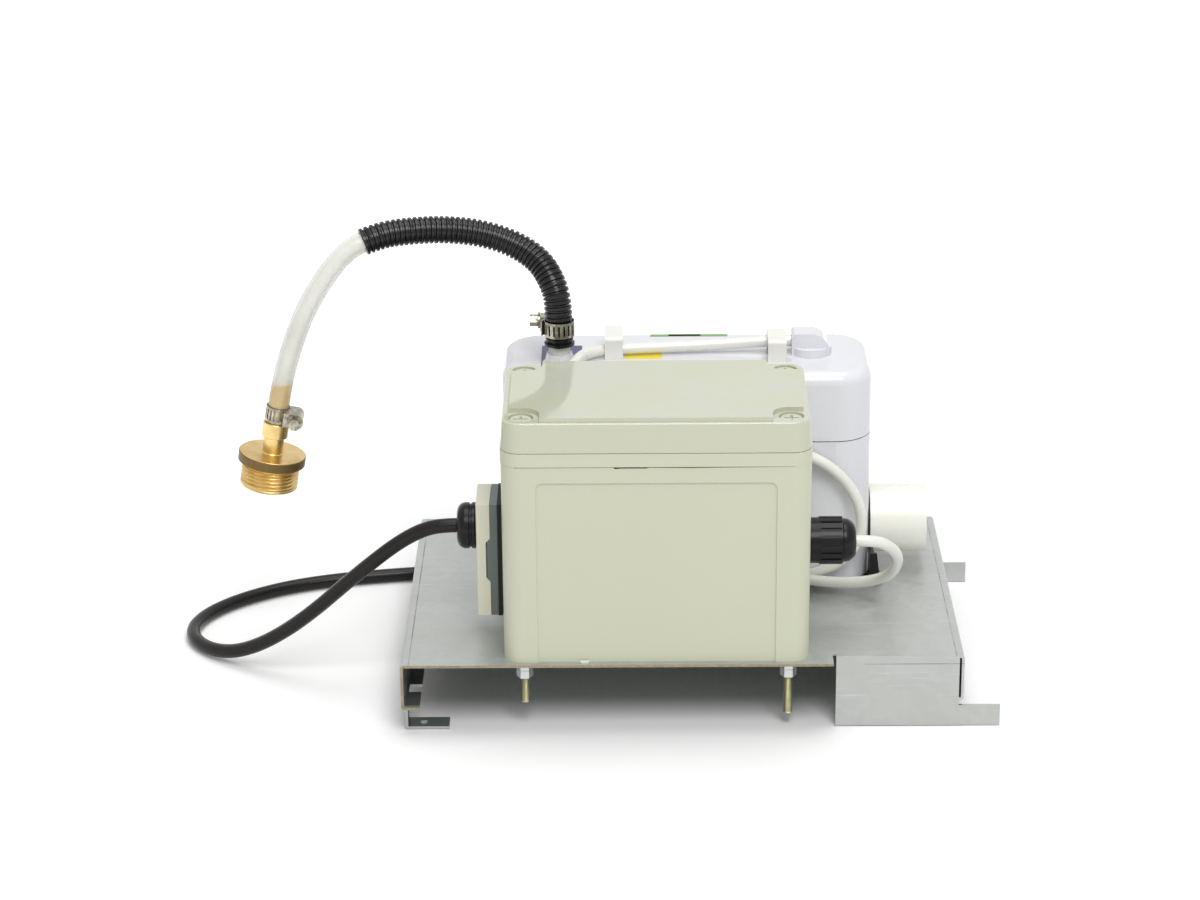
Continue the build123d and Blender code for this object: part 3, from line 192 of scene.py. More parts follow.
# Cloudy colour and gloss of a real surface, its fine grain, and dust on what faces up. On the
# glossy lid the same blend, towards a bluish grey, is partly dust and partly a painted
# reflection of the pale room on its top
life, given, result = group(
    "surface_life",
    [
        ("Colour", "Color", (0.8, 0.8, 0.8, 1)), ("Cloud", "Float", 0.04), ("Cloud Scale", "Float", 14.0),
        ("Roughness", "Float", 0.4), ("Roughness Change", "Float", 0.08), ("Grain Scale", "Float", 900.0),
        ("Dust And Reflection", "Float", 0.0), ("Dust And Reflection Colour", "Color", (0.45, 0.43, 0.4, 1)),
    ],
    [("Colour", "Color"), ("Roughness", "Float"), ("Height", "Float")],
)
cloud = noise(life, given["Cloud Scale"], 4.0, 0.55)
swing = maths(life, "MULTIPLY", maths(life, "SUBTRACT", cloud, 0.5), 2.0)
gain = maths(life, "ADD", maths(life, "MULTIPLY", swing, given["Cloud"]), 1.0)
tinted = put(life, "VectorMath", {"operation": "SCALE"}, {0: given["Colour"], "Scale": gain}).outputs[0]
upward = put(life, "SeparateXYZ", inputs={0: put(life, "NewGeometry").outputs["Normal"]}).outputs["Z"]
faces_up = spread(life, upward, 0.55, 1.0)
specks = spread(life, noise(life, 260.0, 5.0, 0.7), 0.60, 0.72)
drifts = spread(life, noise(life, 22.0, 4.0, 0.6), 0.45, 0.75)
patch_shape = maths(life, "ADD", maths(life, "MULTIPLY", specks, 0.8), drifts)
patches_on_top = maths(life, "MULTIPLY", faces_up, patch_shape)
dust_and_reflection_mask = maths(life, "MULTIPLY", patches_on_top, given["Dust And Reflection"], clamp=True)
life.links.new(blended(life, dust_and_reflection_mask, tinted, given["Dust And Reflection Colour"]), result["Colour"])
fine = noise(life, maths(life, "MULTIPLY", given["Cloud Scale"], 4.0), 3.0)
wander = maths(life, "MULTIPLY", maths(life, "SUBTRACT", fine, 0.5), 2.0)
change = maths(life, "MULTIPLY", wander, given["Roughness Change"])
rougher = maths(life, "ADD", given["Roughness"], change)
dulled = maths(life, "ADD", rougher, maths(life, "MULTIPLY", dust_and_reflection_mask, 0.3), clamp=True)
life.links.new(dulled, result["Roughness"])
life.links.new(noise(life, given["Grain Scale"], 2.0), result["Height"])


def finish_of(name, colour, rough, cloud=0.04, cloud_scale=14.0, rough_change=0.08, grain=900.0,
              bump=0.05, dust_and_reflection=0.0, dust_and_reflection_colour=(0.45, 0.43, 0.40), **plain):
    """A material with the living surface; plain holds the shader's own fixed values."""
    made, out = bare_material(name)
    tree = made.node_tree
    surface = put(tree, "Group", {"node_tree": life}, {
        "Colour": (*colour, 1), "Cloud": cloud, "Cloud Scale": cloud_scale, "Roughness": rough,
        "Roughness Change": rough_change, "Grain Scale": grain, "Dust And Reflection": dust_and_reflection,
        "Dust And Reflection Colour": (*dust_and_reflection_colour, 1),
    }).outputs
    relief = put(tree, "Bump", inputs={"Strength": bump, "Distance": 0.0004, "Height": surface["Height"]})
    shader = put(tree, "BsdfPrincipled", inputs={
        "Base Color": surface["Colour"], "Roughness": surface["Roughness"], "Normal": relief.outputs[0],
        **{socket.replace("_", " "): value for socket, value in plain.items()},
    })
    tree.links.new(shader.outputs[0], out.inputs["Surface"])
    return made


def cord_curve(name, points, diameter, material=None):
    """A cord: one open spline through its route's control points, in metres."""
    curve = bpy.data.curves.new(name, "CURVE")
    curve.dimensions = "3D"
    curve.resolution_u = 8
    line = curve.splines.new("NURBS")
    line.points.add(len(points) - 1)
    for point, place in zip(line.points, points):
        point.co = (*place, 1)
    line.order_u = 3
    line.use_endpoint_u = True
    curve.bevel_depth = diameter / 2
    curve.bevel_resolution = 8
    curve.use_fill_caps = True
    made = bpy.data.objects.new(name, curve)
    scene.collection.objects.link(made)
    if material:
        curve.materials.append(material)
    return made


white_jacket = finish_of("white_cable_jacket", (0.78, 0.78, 0.72), 0.26, cloud=0.03, cloud_scale=30,
                         rough_change=0.06, grain=700, bump=0.06, Coat_Weight=0.15)
pump_cable_thick = 0.0065
pump_cable_route = [
    (0.0607, 0.0420, 0.1791), (0.0418, 0.0420, 0.1791), (0.0218, 0.0419, 0.1776),
    (-0.0002, 0.0409, 0.1766), (-0.0232, 0.0395, 0.1762), (-0.0422, 0.0378, 0.1760),
    (-0.0557, 0.0351, 0.1761), (-0.0647, 0.0265, 0.1768), (-0.0682, 0.0140, 0.1782),
    (-0.0742, 0.0029, 0.1758), (-0.0782, -0.0026, 0.1645), (-0.0794, -0.0028, 0.1470),
    (-0.0757, -0.0032, 0.1280), (-0.0642, -0.0031, 0.1110), (-0.0452, -0.0033, 0.1026),
    (-0.0212, -0.0031, 0.1040), (0.0018, -0.0033, 0.1132), (0.0238, -0.0031, 0.1225),
    (0.0458, -0.0033, 0.1280), (0.0648, -0.0035, 0.1254), (0.0808, -0.0035, 0.1145),
    (0.0913, -0.0035, 0.0995), (0.0952, -0.0031, 0.0820), (0.0898, -0.0023, 0.0660),
    (0.0768, -0.0009, 0.0544), (0.0588, -0.0001, 0.0484), (0.0358, 0.0000, 0.0464),
    (0.0118, -0.0001, 0.0462), (-0.0092, -0.0007, 0.0486), (-0.0252, -0.0018, 0.0565),
    (-0.0322, -0.0033, 0.0700), (-0.0272, -0.0047, 0.0835), (-0.0132, -0.0058, 0.0905),
    (0.0028, -0.0063, 0.0878), (0.0158, -0.0066, 0.0778), (0.0278, -0.0068, 0.0658),
    (0.0438, -0.0069, 0.0556), (0.0638, -0.0071, 0.0498), (0.0834, -0.0097, 0.0490),
    (0.1000, -0.0165, 0.0530), (0.1100, -0.0285, 0.0625), (0.1130, -0.0415, 0.0775),
    (0.1065, -0.0525, 0.0900), (0.0955, -0.0573, 0.0955), (0.0683, -0.0573, 0.0955),
]
pump_cable = cord_curve("pump_cable_jacket", pump_cable_route, pump_cable_thick, white_jacket)
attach(pump_cable, "base")
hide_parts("pump_cable")

# ---------------------------------------------------------------------------------------------
# Mains lead. An 8.2 mm brownish black rubber cable that springs out of the strain relief,
# lies down in one wide loop beside the tray, and ends behind it in a neat coil with its plug.
# ---------------------------------------------------------------------------------------------
black_jacket = finish_of("black_cable_jacket", (0.012, 0.010, 0.009), 0.26, cloud=0.2, cloud_scale=40,
                         rough_change=0.08, grain=1200, bump=0.10, dust_and_reflection=0.03, Specular_IOR_Level=0.22)
lead_thick = 0.0082
lead_low = lead_thick / 2
lead_route = [
    (-0.1353, -0.0573, 0.1056), (-0.1453, -0.0573, 0.1056), (-0.1567, -0.0566, 0.1020),
    (-0.1697, -0.0545, 0.0935), (-0.1847, -0.0505, 0.0802), (-0.2007, -0.0447, 0.0645),
    (-0.2177, -0.0379, 0.0468), (-0.2357, -0.0301, 0.0302), (-0.2537, -0.0209, 0.0165),
    (-0.2702, -0.0115, 0.0080), (-0.2852, 0.0005, 0.0045), (-0.2957, 0.0155, lead_low),
    (-0.2987, 0.0325, lead_low), (-0.2932, 0.0500, lead_low), (-0.2822, 0.0660, lead_low),
    (-0.2672, 0.0800, lead_low), (-0.2472, 0.0930, lead_low), (-0.2232, 0.1025, lead_low),
    (-0.1962, 0.1090, lead_low), (-0.1662, 0.1140, lead_low), (-0.1342, 0.1185, lead_low),
    (-0.1042, 0.1215, lead_low), (-0.0782, 0.1225, lead_low),
]


def eased(value, start, end):
    """0 before start, 1 after end, smooth between."""
    part = min(1.0, max(0.0, (value - start) / (end - start)))
    return part * part * (3 - 2 * part)


coil_middle = Vector((-0.0542, 0.1675, 0))
coil_radius = 0.045
coil_step = 0.0084
coil_turns, coil_points = 3, 14
swings_out, sinks = 0.0086, 0.003
for i in range(coil_turns * coil_points + 1):
    turn = min(i // coil_points, coil_turns - 1)
    share = i / coil_points - turn
    last = turn == coil_turns - 1
    # Each turn climbs on to the next one near its end; the last one swings out and sinks
    level = turn + (0 if last else eased(share, 0.68, 0.92))
    radius = coil_radius + (swings_out * eased(share, 0.55, 0.72) if last else 0)
    height = lead_low + coil_step * level - (sinks * eased(share, 0.7, 1.0) if last else 0)
    angle = 2 * pi * share - pi / 2
    lead_route.append(coil_middle + Vector((radius * cos(angle), radius * sin(angle), height)))
lead_route += [
    (-0.0360, 0.1143, 0.0176), (-0.0180, 0.1178, 0.0172), (0.0000, 0.1246, 0.0165),
    (0.0170, 0.1328, 0.0152), (0.0340, 0.1372, 0.0140), (0.0498, 0.1375, 0.0140),
]
mains_lead = cord_curve("mains_lead_jacket", lead_route, lead_thick, black_jacket)
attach(mains_lead, "supply_plug")
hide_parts("mains_lead", "mains_coil", "mains_tail")

# ---------------------------------------------------------------------------------------------
# Discharge hose. A milky silicone hose pushed over the outlet spigot, which runs inside a
# black corrugated sleeve, hangs out of it and ends on the brass fitting's barb. Where brass
# stretches it, it turns clear and looks amber.
# ---------------------------------------------------------------------------------------------
tilt = radians(9.1)
fitting_axis = Vector((sin(tilt), 0, cos(tilt)))
fitting_top = Vector((-0.2416, 0.0145, 0.1411))
hose_route = [
    (-0.0787, 0.0225, 0.1795), (-0.0787, 0.0225, 0.2060), (-0.0815, 0.0275, 0.2185),
    (-0.0897, 0.0370, 0.2303), (-0.1060, 0.0430, 0.2393), (-0.1267, 0.0430, 0.2456),
    (-0.1487, 0.0390, 0.2484), (-0.1707, 0.0335, 0.2484), (-0.1827, 0.0300, 0.2466),
    (-0.1977, 0.0255, 0.2416), (-0.2107, 0.0215, 0.2269), (-0.2227, 0.0185, 0.2076),
    (-0.2315, 0.0163, 0.1853), tuple(fitting_top + fitting_axis * 0.0215), tuple(fitting_top),
]
hose_line = cord_curve("hose_line", hose_route, 0)
hose_line.data.resolution_u = 16
bpy.context.view_layer.update()
line_seen = hose_line.evaluated_get(bpy.context.evaluated_depsgraph_get())
centre_line = [v.co.copy() for v in bpy.data.meshes.new_from_object(line_seen).vertices]
bpy.data.objects.remove(hose_line)
hose_length = sum((b - a).length for a, b in zip(centre_line, centre_line[1:]))


def walked(line, distances):
    """The line's points at these distances from its start, with their directions."""
    found = []
    gone = 0.0
    wanted = list(distances)
    for a, b in zip(line, line[1:]):
        run = (b - a).length
        while wanted and wanted[0] <= gone + run + 1e-9:
            found.append((a.lerp(b, (wanted.pop(0) - gone) / run), (b - a).normalized()))
        gone += run
    return found


def mesh_object(name, verts, faces, material, sharp=None):
    """A mesh from its points and faces, smooth, with edges over the sharp angle kept."""
    mesh = bpy.data.meshes.new(name)
    mesh.from_pydata([tuple(v) for v in verts], [], faces)
    mesh.validate()
    mesh.shade_smooth()
    if sharp:
        mesh.set_sharp_from_angle(angle=radians(sharp))
    made = bpy.data.objects.new(name, mesh)
    scene.collection.objects.link(made)
    mesh.materials.append(material)
    return made


def ring_faces(rings, sides, closed):
    """Quads between rings of points; closed also joins the last ring to the first."""
    faces = []
    for j in range(rings if closed else rings - 1):
        for i in range(sides):
            k, m = (i + 1) % sides, (j + 1) % rings
            faces.append((j * sides + i, j * sides + k, m * sides + k, m * sides + i))
    return faces


def tube(name, stations, radii, sides, material):
    """A hollow tube: rings round (place, direction) stations, out along it and back inside."""
    across = Vector((0, 1, 0))
    verts = []
    for (place, way), radius in zip(stations, radii):
        across = (across - way * across.dot(way)).normalized()
        beside = way.cross(across)
        for i in range(sides):
            angle = 2 * pi * i / sides
            verts.append(place + (across * cos(angle) + beside * sin(angle)) * radius)
    return mesh_object(name, verts, ring_faces(len(stations), sides, True), material, sharp=50)


milky, milky_out = bare_material("milky_hose")
tree = milky.node_tree
haze = noise(tree, 60, 4.0, 0.6)
hue = blended(tree, spread(tree, haze, 0.35, 0.65), (0.88, 0.88, 0.79, 1), (0.95, 0.95, 0.90, 1))
height = put(tree, "SeparateXYZ", inputs={0: put(tree, "TexCoord").outputs["Object"]}).outputs["Z"]
barb_end = 0.1655
stretched = spread(tree, height, barb_end, barb_end - 0.0015)
amber = blended(tree, haze, (0.72, 0.52, 0.24, 1), (0.86, 0.70, 0.40, 1))
hue = blended(tree, stretched, hue, amber)
see = maths(tree, "ADD", spread(tree, noise(tree, 40, 2.0), 0.3, 0.7, 0.52, 0.62),
             maths(tree, "MULTIPLY", stretched, 0.12))
wrinkle = put(tree, "Bump", inputs={"Strength": 0.08, "Distance": 0.0004, "Height": noise(tree, 500, 2.0)})
shader = put(tree, "BsdfPrincipled", inputs={
    "Base Color": hue, "Roughness": spread(tree, haze, 0.3, 0.7, 0.18, 0.32), "Alpha": see,
    "Normal": wrinkle.outputs[0], "Coat Weight": 0.2,
})
tree.links.new(shader.outputs[0], milky_out.inputs["Surface"])
hose_out, hose_in, hose_rings = 0.0061, 0.0044, 96
walk = walked(centre_line, [hose_length * i / hose_rings for i in range(hose_rings + 1)])
walls = [hose_out] * len(walk) + [hose_in] * len(walk)
hose = tube("discharge_hose_wall", walk + walk[::-1], walls, 28, milky)
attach(hose, "base")
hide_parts("discharge_hose")

# Corrugated sleeve: flat-topped rings of 3 mm pitch, the lowest one pushed wide. A ring's
# shape is pairs of how far along the pitch and how far up from valley to crest.
sleeve_black = finish_of("sleeve_black", (0.010, 0.010, 0.011), 0.24, cloud=0.2, cloud_scale=60,
                         rough_change=0.08, grain=1500, bump=0.05, dust_and_reflection=0.06, Specular_IOR_Level=0.3)
sleeve_start, sleeve_end, sleeve_pitch = 0.0042, 0.1632, 0.0030
sleeve_crest, sleeve_valley, sleeve_bore, sleeve_flare = 0.0079, 0.0067, 0.0063, 0.0008
ring_shape = [(0.0, 0.0), (0.12, 0.0), (0.2, 0.75), (0.28, 1.0), (0.72, 1.0), (0.8, 0.75), (0.88, 0.0)]
distances, radii = [], []
for ring in range(round((sleeve_end - sleeve_start) / sleeve_pitch)):
    crest = sleeve_crest + (sleeve_flare if ring == 0 else 0)
    for along, up in ring_shape:
        distances.append(sleeve_start + (ring + along) * sleeve_pitch)
        radii.append(sleeve_valley + (crest - sleeve_valley) * up)
stations = walked(centre_line, distances)
walls = radii + [sleeve_bore] * len(stations)
sleeve = tube("corrugated_sleeve", stations + stations[::-1], walls, 40, sleeve_black)
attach(sleeve, "base")
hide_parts("discharge_sleeve")


# ---------------------------------------------------------------------------------------------
# Brass fitting. One turned piece: barb, collar, thin neck, a wide flange with a dull rim and
# a one-inch pipe thread, cut on a lathe; its thread is a real helix.
# ---------------------------------------------------------------------------------------------
def thread_radius(height, angle, start, end, pitch, crest, depth):
    """The radius of a right-hand vee thread at a height and angle, running out at both ends."""
    phase = (height / pitch - angle / (2 * pi)) % 1.0
    tooth = min(1.0, max(0.0, 1.25 * (1 - abs(2 * phase - 1)) - 0.12))
    cut = eased(height, start, start + pitch) * (1 - eased(height, end - pitch, end))
    return crest - depth * (1 - tooth) * cut


def turned(name, profile, material, place, steps, thread=None, rows=9):
    """A lathe-turned piece from (radius, height) pairs round the place's Z axis, closed on
    itself. thread is (start, end, pitch, crest, depth) of a thread on its downward run, cut
    in that many rows a pitch."""
    body = []
    for radius, height in profile:
        body.append((radius, height, False))
        if thread and abs(height - thread[1]) < 1e-9 and abs(radius - thread[3]) < 1e-9:
            start, end, pitch, crest, _ = thread
            count = round(rows * (end - start) / pitch)
            body += [(crest, end - (end - start) * j / count, True) for j in range(1, count)]
    verts = []
    for radius, height, cut in body:
        for i in range(steps):
            angle = 2 * pi * i / steps
            r = thread_radius(height, angle, *thread) if cut else radius
            verts.append(place @ Vector((r * cos(angle), r * sin(angle), height)))
    return mesh_object(name, verts, ring_faces(len(body), steps, True), material, sharp=35)


brass, brass_out = bare_material("turned_brass")
tree = brass.node_tree
lathe_marks = noise(tree, 300, 3.0, 0.6, squeeze=(6, 6, 1))
stain = noise(tree, 70, 5.0, 0.6)
tone = blended(tree, spread(tree, stain, 0.35, 0.7), (0.76, 0.56, 0.24, 1), (0.56, 0.39, 0.15, 1))
fitting_relief = put(tree, "Bump", inputs={"Strength": 0.12, "Distance": 0.0002, "Height": lathe_marks})
shader = put(tree, "BsdfPrincipled", inputs={
    "Base Color": tone, "Metallic": 1.0, "Roughness": spread(tree, stain, 0.3, 0.7, 0.20, 0.38),
    "Normal": fitting_relief.outputs[0],
})
tree.links.new(shader.outputs[0], brass_out.inputs["Surface"])
dull_rim = finish_of("dull_brass_rim", (0.17, 0.11, 0.04), 0.42, cloud=0.25, cloud_scale=400,
                     rough_change=0.15, grain=2600, bump=0.6, Metallic=0.8)

fitting_place = Matrix.Translation(fitting_top) @ Matrix.Rotation(tilt, 4, "Y")
fitting_profile = [
    (0.0031, 0.0195), (0.0046, 0.0195), (0.0054, 0.0150), (0.0048, 0.0148), (0.0054, 0.0100),
    (0.0048, 0.0098), (0.0054, 0.0050), (0.0049, 0.0048), (0.0049, 0.0000), (0.0071, 0.0000),
    (0.0075, -0.0004), (0.0075, -0.0084), (0.0071, -0.0088), (0.00585, -0.0088),
    (0.00585, -0.0183), (0.0063, -0.0188), (0.0187, -0.0188),
    (0.0189, -0.0190), (0.0189, -0.0246), (0.0187, -0.0248), (0.0166, -0.0248), (0.0166, -0.0383),
    (0.0156, -0.0393), (0.0128, -0.0393), (0.0126, -0.0391), (0.0126, -0.0263), (0.0031, -0.0243),
]
pipe_thread = (-0.0383, -0.0248, 0.00231, 0.0166, 0.0012)
fitting = turned("brass_hose_fitting", fitting_profile, brass, fitting_place, 96, pipe_thread)
rim_profile = [
    (0.0190, -0.0190), (0.0193, -0.0193), (0.0193, -0.0243), (0.0190, -0.0246), (0.0186, -0.0246),
    (0.0186, -0.0190),
]
rim = turned("brass_flange_rim", rim_profile, dull_rim, fitting_place, 96)
for piece in (fitting, rim):
    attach(piece, "base")
    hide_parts("hose_fitting")


# ---------------------------------------------------------------------------------------------
# Hose clamps. Zinc-plated steel bands with punched slots, a pressed housing and a worm screw
# with a hexagonal slotted head.
# ---------------------------------------------------------------------------------------------
def dress(names, material):
    """Gives these nodes a material."""
    for name in names:
        mesh = nodes[name].data
        mesh.materials.clear()
        mesh.materials.append(material)


# The shade in a band's slots: a mask of what lies inside the band's outer face
shade, given, result = group("slot_shade", [
    ("Middle", "Vector", (0, 0, 0)), ("Axis", "Vector", (0, 0, 1)), ("Band Radius", "Float", 0.008),
], [("Mask", "Float")])
spot = put(shade, "TexCoord").outputs["Object"]
from_middle = put(shade, "VectorMath", {"operation": "SUBTRACT"}, {0: spot, 1: given["Middle"]})
both = {0: from_middle.outputs[0], 1: given["Axis"]}
swept = put(shade, "VectorMath", {"operation": "CROSS_PRODUCT"}, both).outputs[0]
off_axis = put(shade, "VectorMath", {"operation": "LENGTH"}, {0: swept}).outputs["Value"]
sunk = maths(shade, "SUBTRACT", given["Band Radius"], off_axis)
shade.links.new(spread(shade, sunk, 0.00010, 0.00025), result["Mask"])


def clamp_zinc(name, middle, axis, band_radius):
    """Bright zinc with dark slots, for a band round that axis."""
    made, out = bare_material(name)
    tree = made.node_tree
    in_slot = put(tree, "Group", {"node_tree": shade}, {
        "Middle": middle, "Axis": axis, "Band Radius": band_radius,
    }).outputs["Mask"]
    stain = noise(tree, 260.0, 4.0, 0.65)
    tone = blended(tree, spread(tree, stain, 0.35, 0.65), (0.50, 0.47, 0.38, 1), (0.16, 0.15, 0.12, 1))
    tone = blended(tree, in_slot, tone, (0.02, 0.018, 0.012, 1))
    relief = put(tree, "Bump", inputs={"Strength": 0.15, "Distance": 0.0003, "Height": stain})
    shader = put(tree, "BsdfPrincipled", inputs={
        "Base Color": tone, "Metallic": 0.9, "Roughness": spread(tree, stain, 0.3, 0.7, 0.18, 0.36),
        "Normal": relief.outputs[0],
    })
    tree.links.new(shader.outputs[0], out.inputs["Surface"])
    return made


band_thick = 0.0007
outlet_zinc = clamp_zinc("outlet_clamp_zinc", hose_route[0], (0, 0, 1), sleeve_crest + band_thick)
hose_zinc = clamp_zinc("hose_clamp_zinc", fitting_top, fitting_axis, hose_out + band_thick)
dress(["outlet_clamp_band", "outlet_clamp_screw"], outlet_zinc)
dress(["hose_clamp_band", "hose_clamp_screw"], hose_zinc)

# ---------------------------------------------------------------------------------------------
# Tray. One sheet of 1.5 mm galvanised steel, folded on a press: soft zinc spangle, fine
# handling scratches, smears left by dirty hands, dark lines along the folds, cut edges gone
# brown and cream, and a darker, greenish inside that is painted shade and reflection.
# ---------------------------------------------------------------------------------------------
marks, given, result = group(
    "fine_scratches", [("Scale", "Float", 40.0), ("Amount", "Float", 1.0)], [("Mask", "Float")]
)
spot = put(marks, "TexCoord").outputs["Object"]
lines = 0.0
for angle in (17, 68, -41):
    drawn_out = {"Vector": spot, "Rotation": (0.3, 0.2, radians(angle)), "Scale": (1, 34, 34)}
    along = put(marks, "Mapping", inputs=drawn_out).outputs[0]
    thin = spread(marks, noise(marks, given["Scale"], 2.0, 0.5, where=along), 0.66, 0.70)
    lines = maths(marks, "MAXIMUM", lines, thin)
patches = spread(marks, noise(marks, 16.0, 3.0), 0.45, 0.62)
handled = maths(marks, "MULTIPLY", lines, patches)
marks.links.new(maths(marks, "MULTIPLY", handled, given["Amount"]), result["Mask"])


def near(tree, value, place, half):
    """1 where the value is within half of the place."""
    return put(tree, "Math", {"operation": "COMPARE"}, {0: value, 1: place, 2: half}).outputs[0]


def between(tree, value, low, high):
    """1 where the value is more than low and less than high."""
    over, under = maths(tree, "GREATER_THAN", value, low), maths(tree, "LESS_THAN", value, high)
    return maths(tree, "MULTIPLY", over, under)


def rounded(name, width):
    """Breaks this node's sharp edges by that width."""
    rounding = nodes[name].modifiers.new("rounded_edges", "BEVEL")
    rounding.width = width
    rounding.segments = 2
    rounding.limit_method = "ANGLE"
    rounding.angle_limit = radians(35)
    rounding.harden_normals = True


tray_left, tray_right, tray_front, tray_top, sheet = -0.1662, 0.1458, -0.1075, 0.0425, 0.0015
galvanised, galvanised_out = bare_material("galvanised_sheet_steel")
tree = galvanised.node_tree
spot = put(tree, "TexCoord").outputs["Object"]
x, y, z = put(tree, "SeparateXYZ", inputs={0: spot}).outputs
wobble = put(tree, "TexNoise", inputs={"Vector": spot, "Scale": 70.0}).outputs["Color"]
stir = (0.012, 0.012, 0.012)
bent = put(tree, "VectorMath", {"operation": "MULTIPLY_ADD"}, {0: wobble, 1: stir, 2: spot})
crystal = put(tree, "TexVoronoi", inputs={"Vector": bent.outputs[0], "Scale": 190.0})
grey = put(tree, "SeparateXYZ", inputs={0: crystal.outputs["Color"]}).outputs["X"]
cloudy = noise(tree, 11.0, 5.0, 0.6)
smear = spread(tree, noise(tree, 26.0, 6.0, 0.7, squeeze=(3.0, 1.0, 1.0)), 0.46, 0.66)
tone = blended(tree, grey, (0.475, 0.49, 0.475, 1), (0.525, 0.54, 0.525, 1))
tone = blended(tree, spread(tree, cloudy, 0.35, 0.65, 0.0, 0.25), tone, (0.41, 0.43, 0.41, 1))
tone = blended(tree, spread(tree, smear, 0, 1, 0.0, 0.18), tone, (0.60, 0.59, 0.54, 1))
grime = spread(tree, noise(tree, 190.0, 5.0, 0.75), 0.67, 0.74, 0.0, 0.5)
tone = blended(tree, grime, tone, (0.20, 0.19, 0.17, 1))
scratched = put(tree, "Group", {"node_tree": marks}, {"Scale": 26.0, "Amount": 0.4}).outputs["Mask"]
tone = blended(tree, scratched, tone, (0.68, 0.69, 0.67, 1))
# Dark lines along the folds: one along each end of the top, and one across the front apron's right part
line_in, line_wide, line_down, fine_line, apron_left = 0.0045, 0.0007, 0.005, 0.0005, 0.0905
on_top = maths(tree, "GREATER_THAN", z, tray_top - 0.0003)
left_line = near(tree, x, tray_left + line_in, line_wide / 2)
right_line = near(tree, x, tray_right - line_in, line_wide / 2)
fold = maths(tree, "MULTIPLY", maths(tree, "MAXIMUM", left_line, right_line), on_top)
apron_fold = near(tree, z, tray_top - line_down, fine_line / 2)
apron_fold_line = maths(tree, "MULTIPLY", apron_fold, maths(tree, "GREATER_THAN", x, apron_left))
line = maths(tree, "MAXIMUM", fold, apron_fold_line)
dark_fold_line = maths(tree, "MULTIPLY", line, spread(tree, noise(tree, 60.0, 3.0), 0.35, 0.6, 0.2, 0.75))
tone = blended(tree, dark_fold_line, tone, (0.17, 0.17, 0.16, 1))
# Painted shade and reflection: behind the front lip and under the top the sheet is painted dark
# and greenish, but not where it faces front or back
lip_deep, under_top = 0.003, 0.0013
facing = put(tree, "SeparateXYZ", inputs={0: put(tree, "NewGeometry").outputs["Normal"]}).outputs["Y"]
painted_shade_inside = between(tree, x, tray_left + sheet / 2, tray_right - sheet / 2)
painted_shade_inside = maths(tree, "MULTIPLY", painted_shade_inside, maths(tree, "LESS_THAN", z, tray_top - under_top))
painted_shade_inside = maths(tree, "MULTIPLY", painted_shade_inside, maths(tree, "GREATER_THAN", y, tray_front + lip_deep))
painted_shade_inside = maths(tree, "MULTIPLY", painted_shade_inside, between(tree, facing, -0.5, 0.5))
tone = blended(tree, maths(tree, "MULTIPLY", painted_shade_inside, 0.75), tone, (0.07, 0.095, 0.075, 1))
cut_edge = maths(tree, "LESS_THAN", y, tray_front + 0.00005)
cream = blended(tree, noise(tree, 420.0, 4.0, 0.75), (0.10, 0.08, 0.05, 1), (0.55, 0.47, 0.32, 1))
tone = blended(tree, cut_edge, tone, cream)
polish = maths(tree, "ADD", spread(tree, grey, 0, 1, 0.40, 0.46), spread(tree, smear, 0, 1, 0.0, 0.12))
tray_relief = put(tree, "Bump", inputs={
    "Strength": 0.10, "Distance": 0.0003, "Height": maths(tree, "ADD", noise(tree, 240.0, 3.0), grey),
})
shader = put(tree, "BsdfPrincipled", inputs={
    "Base Color": tone, "Metallic": 0.65, "Roughness": polish, "Normal": tray_relief.outputs[0],
})
tree.links.new(shader.outputs[0], galvanised_out.inputs["Surface"])
dress(["tray"], galvanised)
rounded("tray", 0.0002)

# ---------------------------------------------------------------------------------------------
# Junction box. A pale greenish-grey ABS moulding: satin sides with a fine grain, shallow panel
# recess, proud rim, a glossy lid lying on it, and four quarter-turn screws of the same plastic.
# ---------------------------------------------------------------------------------------------
box_satin = finish_of("box_satin", (0.595, 0.61, 0.465), 0.34, cloud=0.02, cloud_scale=9, rough_change=0.06,
                      grain=1600, bump=0.06, dust_and_reflection=0.03)
# The lid's top is blended in patches towards a bluish grey: dust, and a painted reflection of the pale room
lid_gloss = finish_of("lid_gloss", (0.555, 0.57, 0.435), 0.04, cloud=0.015, cloud_scale=9,
                      rough_change=0.02, grain=420, bump=0.02, dust_and_reflection=0.55, dust_and_reflection_colour=(0.56, 0.565, 0.60))
screw_plastic = finish_of("screw_plastic", (0.58, 0.60, 0.49), 0.3, cloud=0.05, cloud_scale=80, grain=1200,
                          bump=0.08)
dress(["enclosure_base"], box_satin)
dress(["enclosure_lid"], lid_gloss)
for depth in ("front", "back"):
    dress([f"lid_screw_{depth}_left", f"lid_screw_{depth}_right"], screw_plastic)
rounded("enclosure_base", 0.0004)
rounded("enclosure_lid", 0.0004)

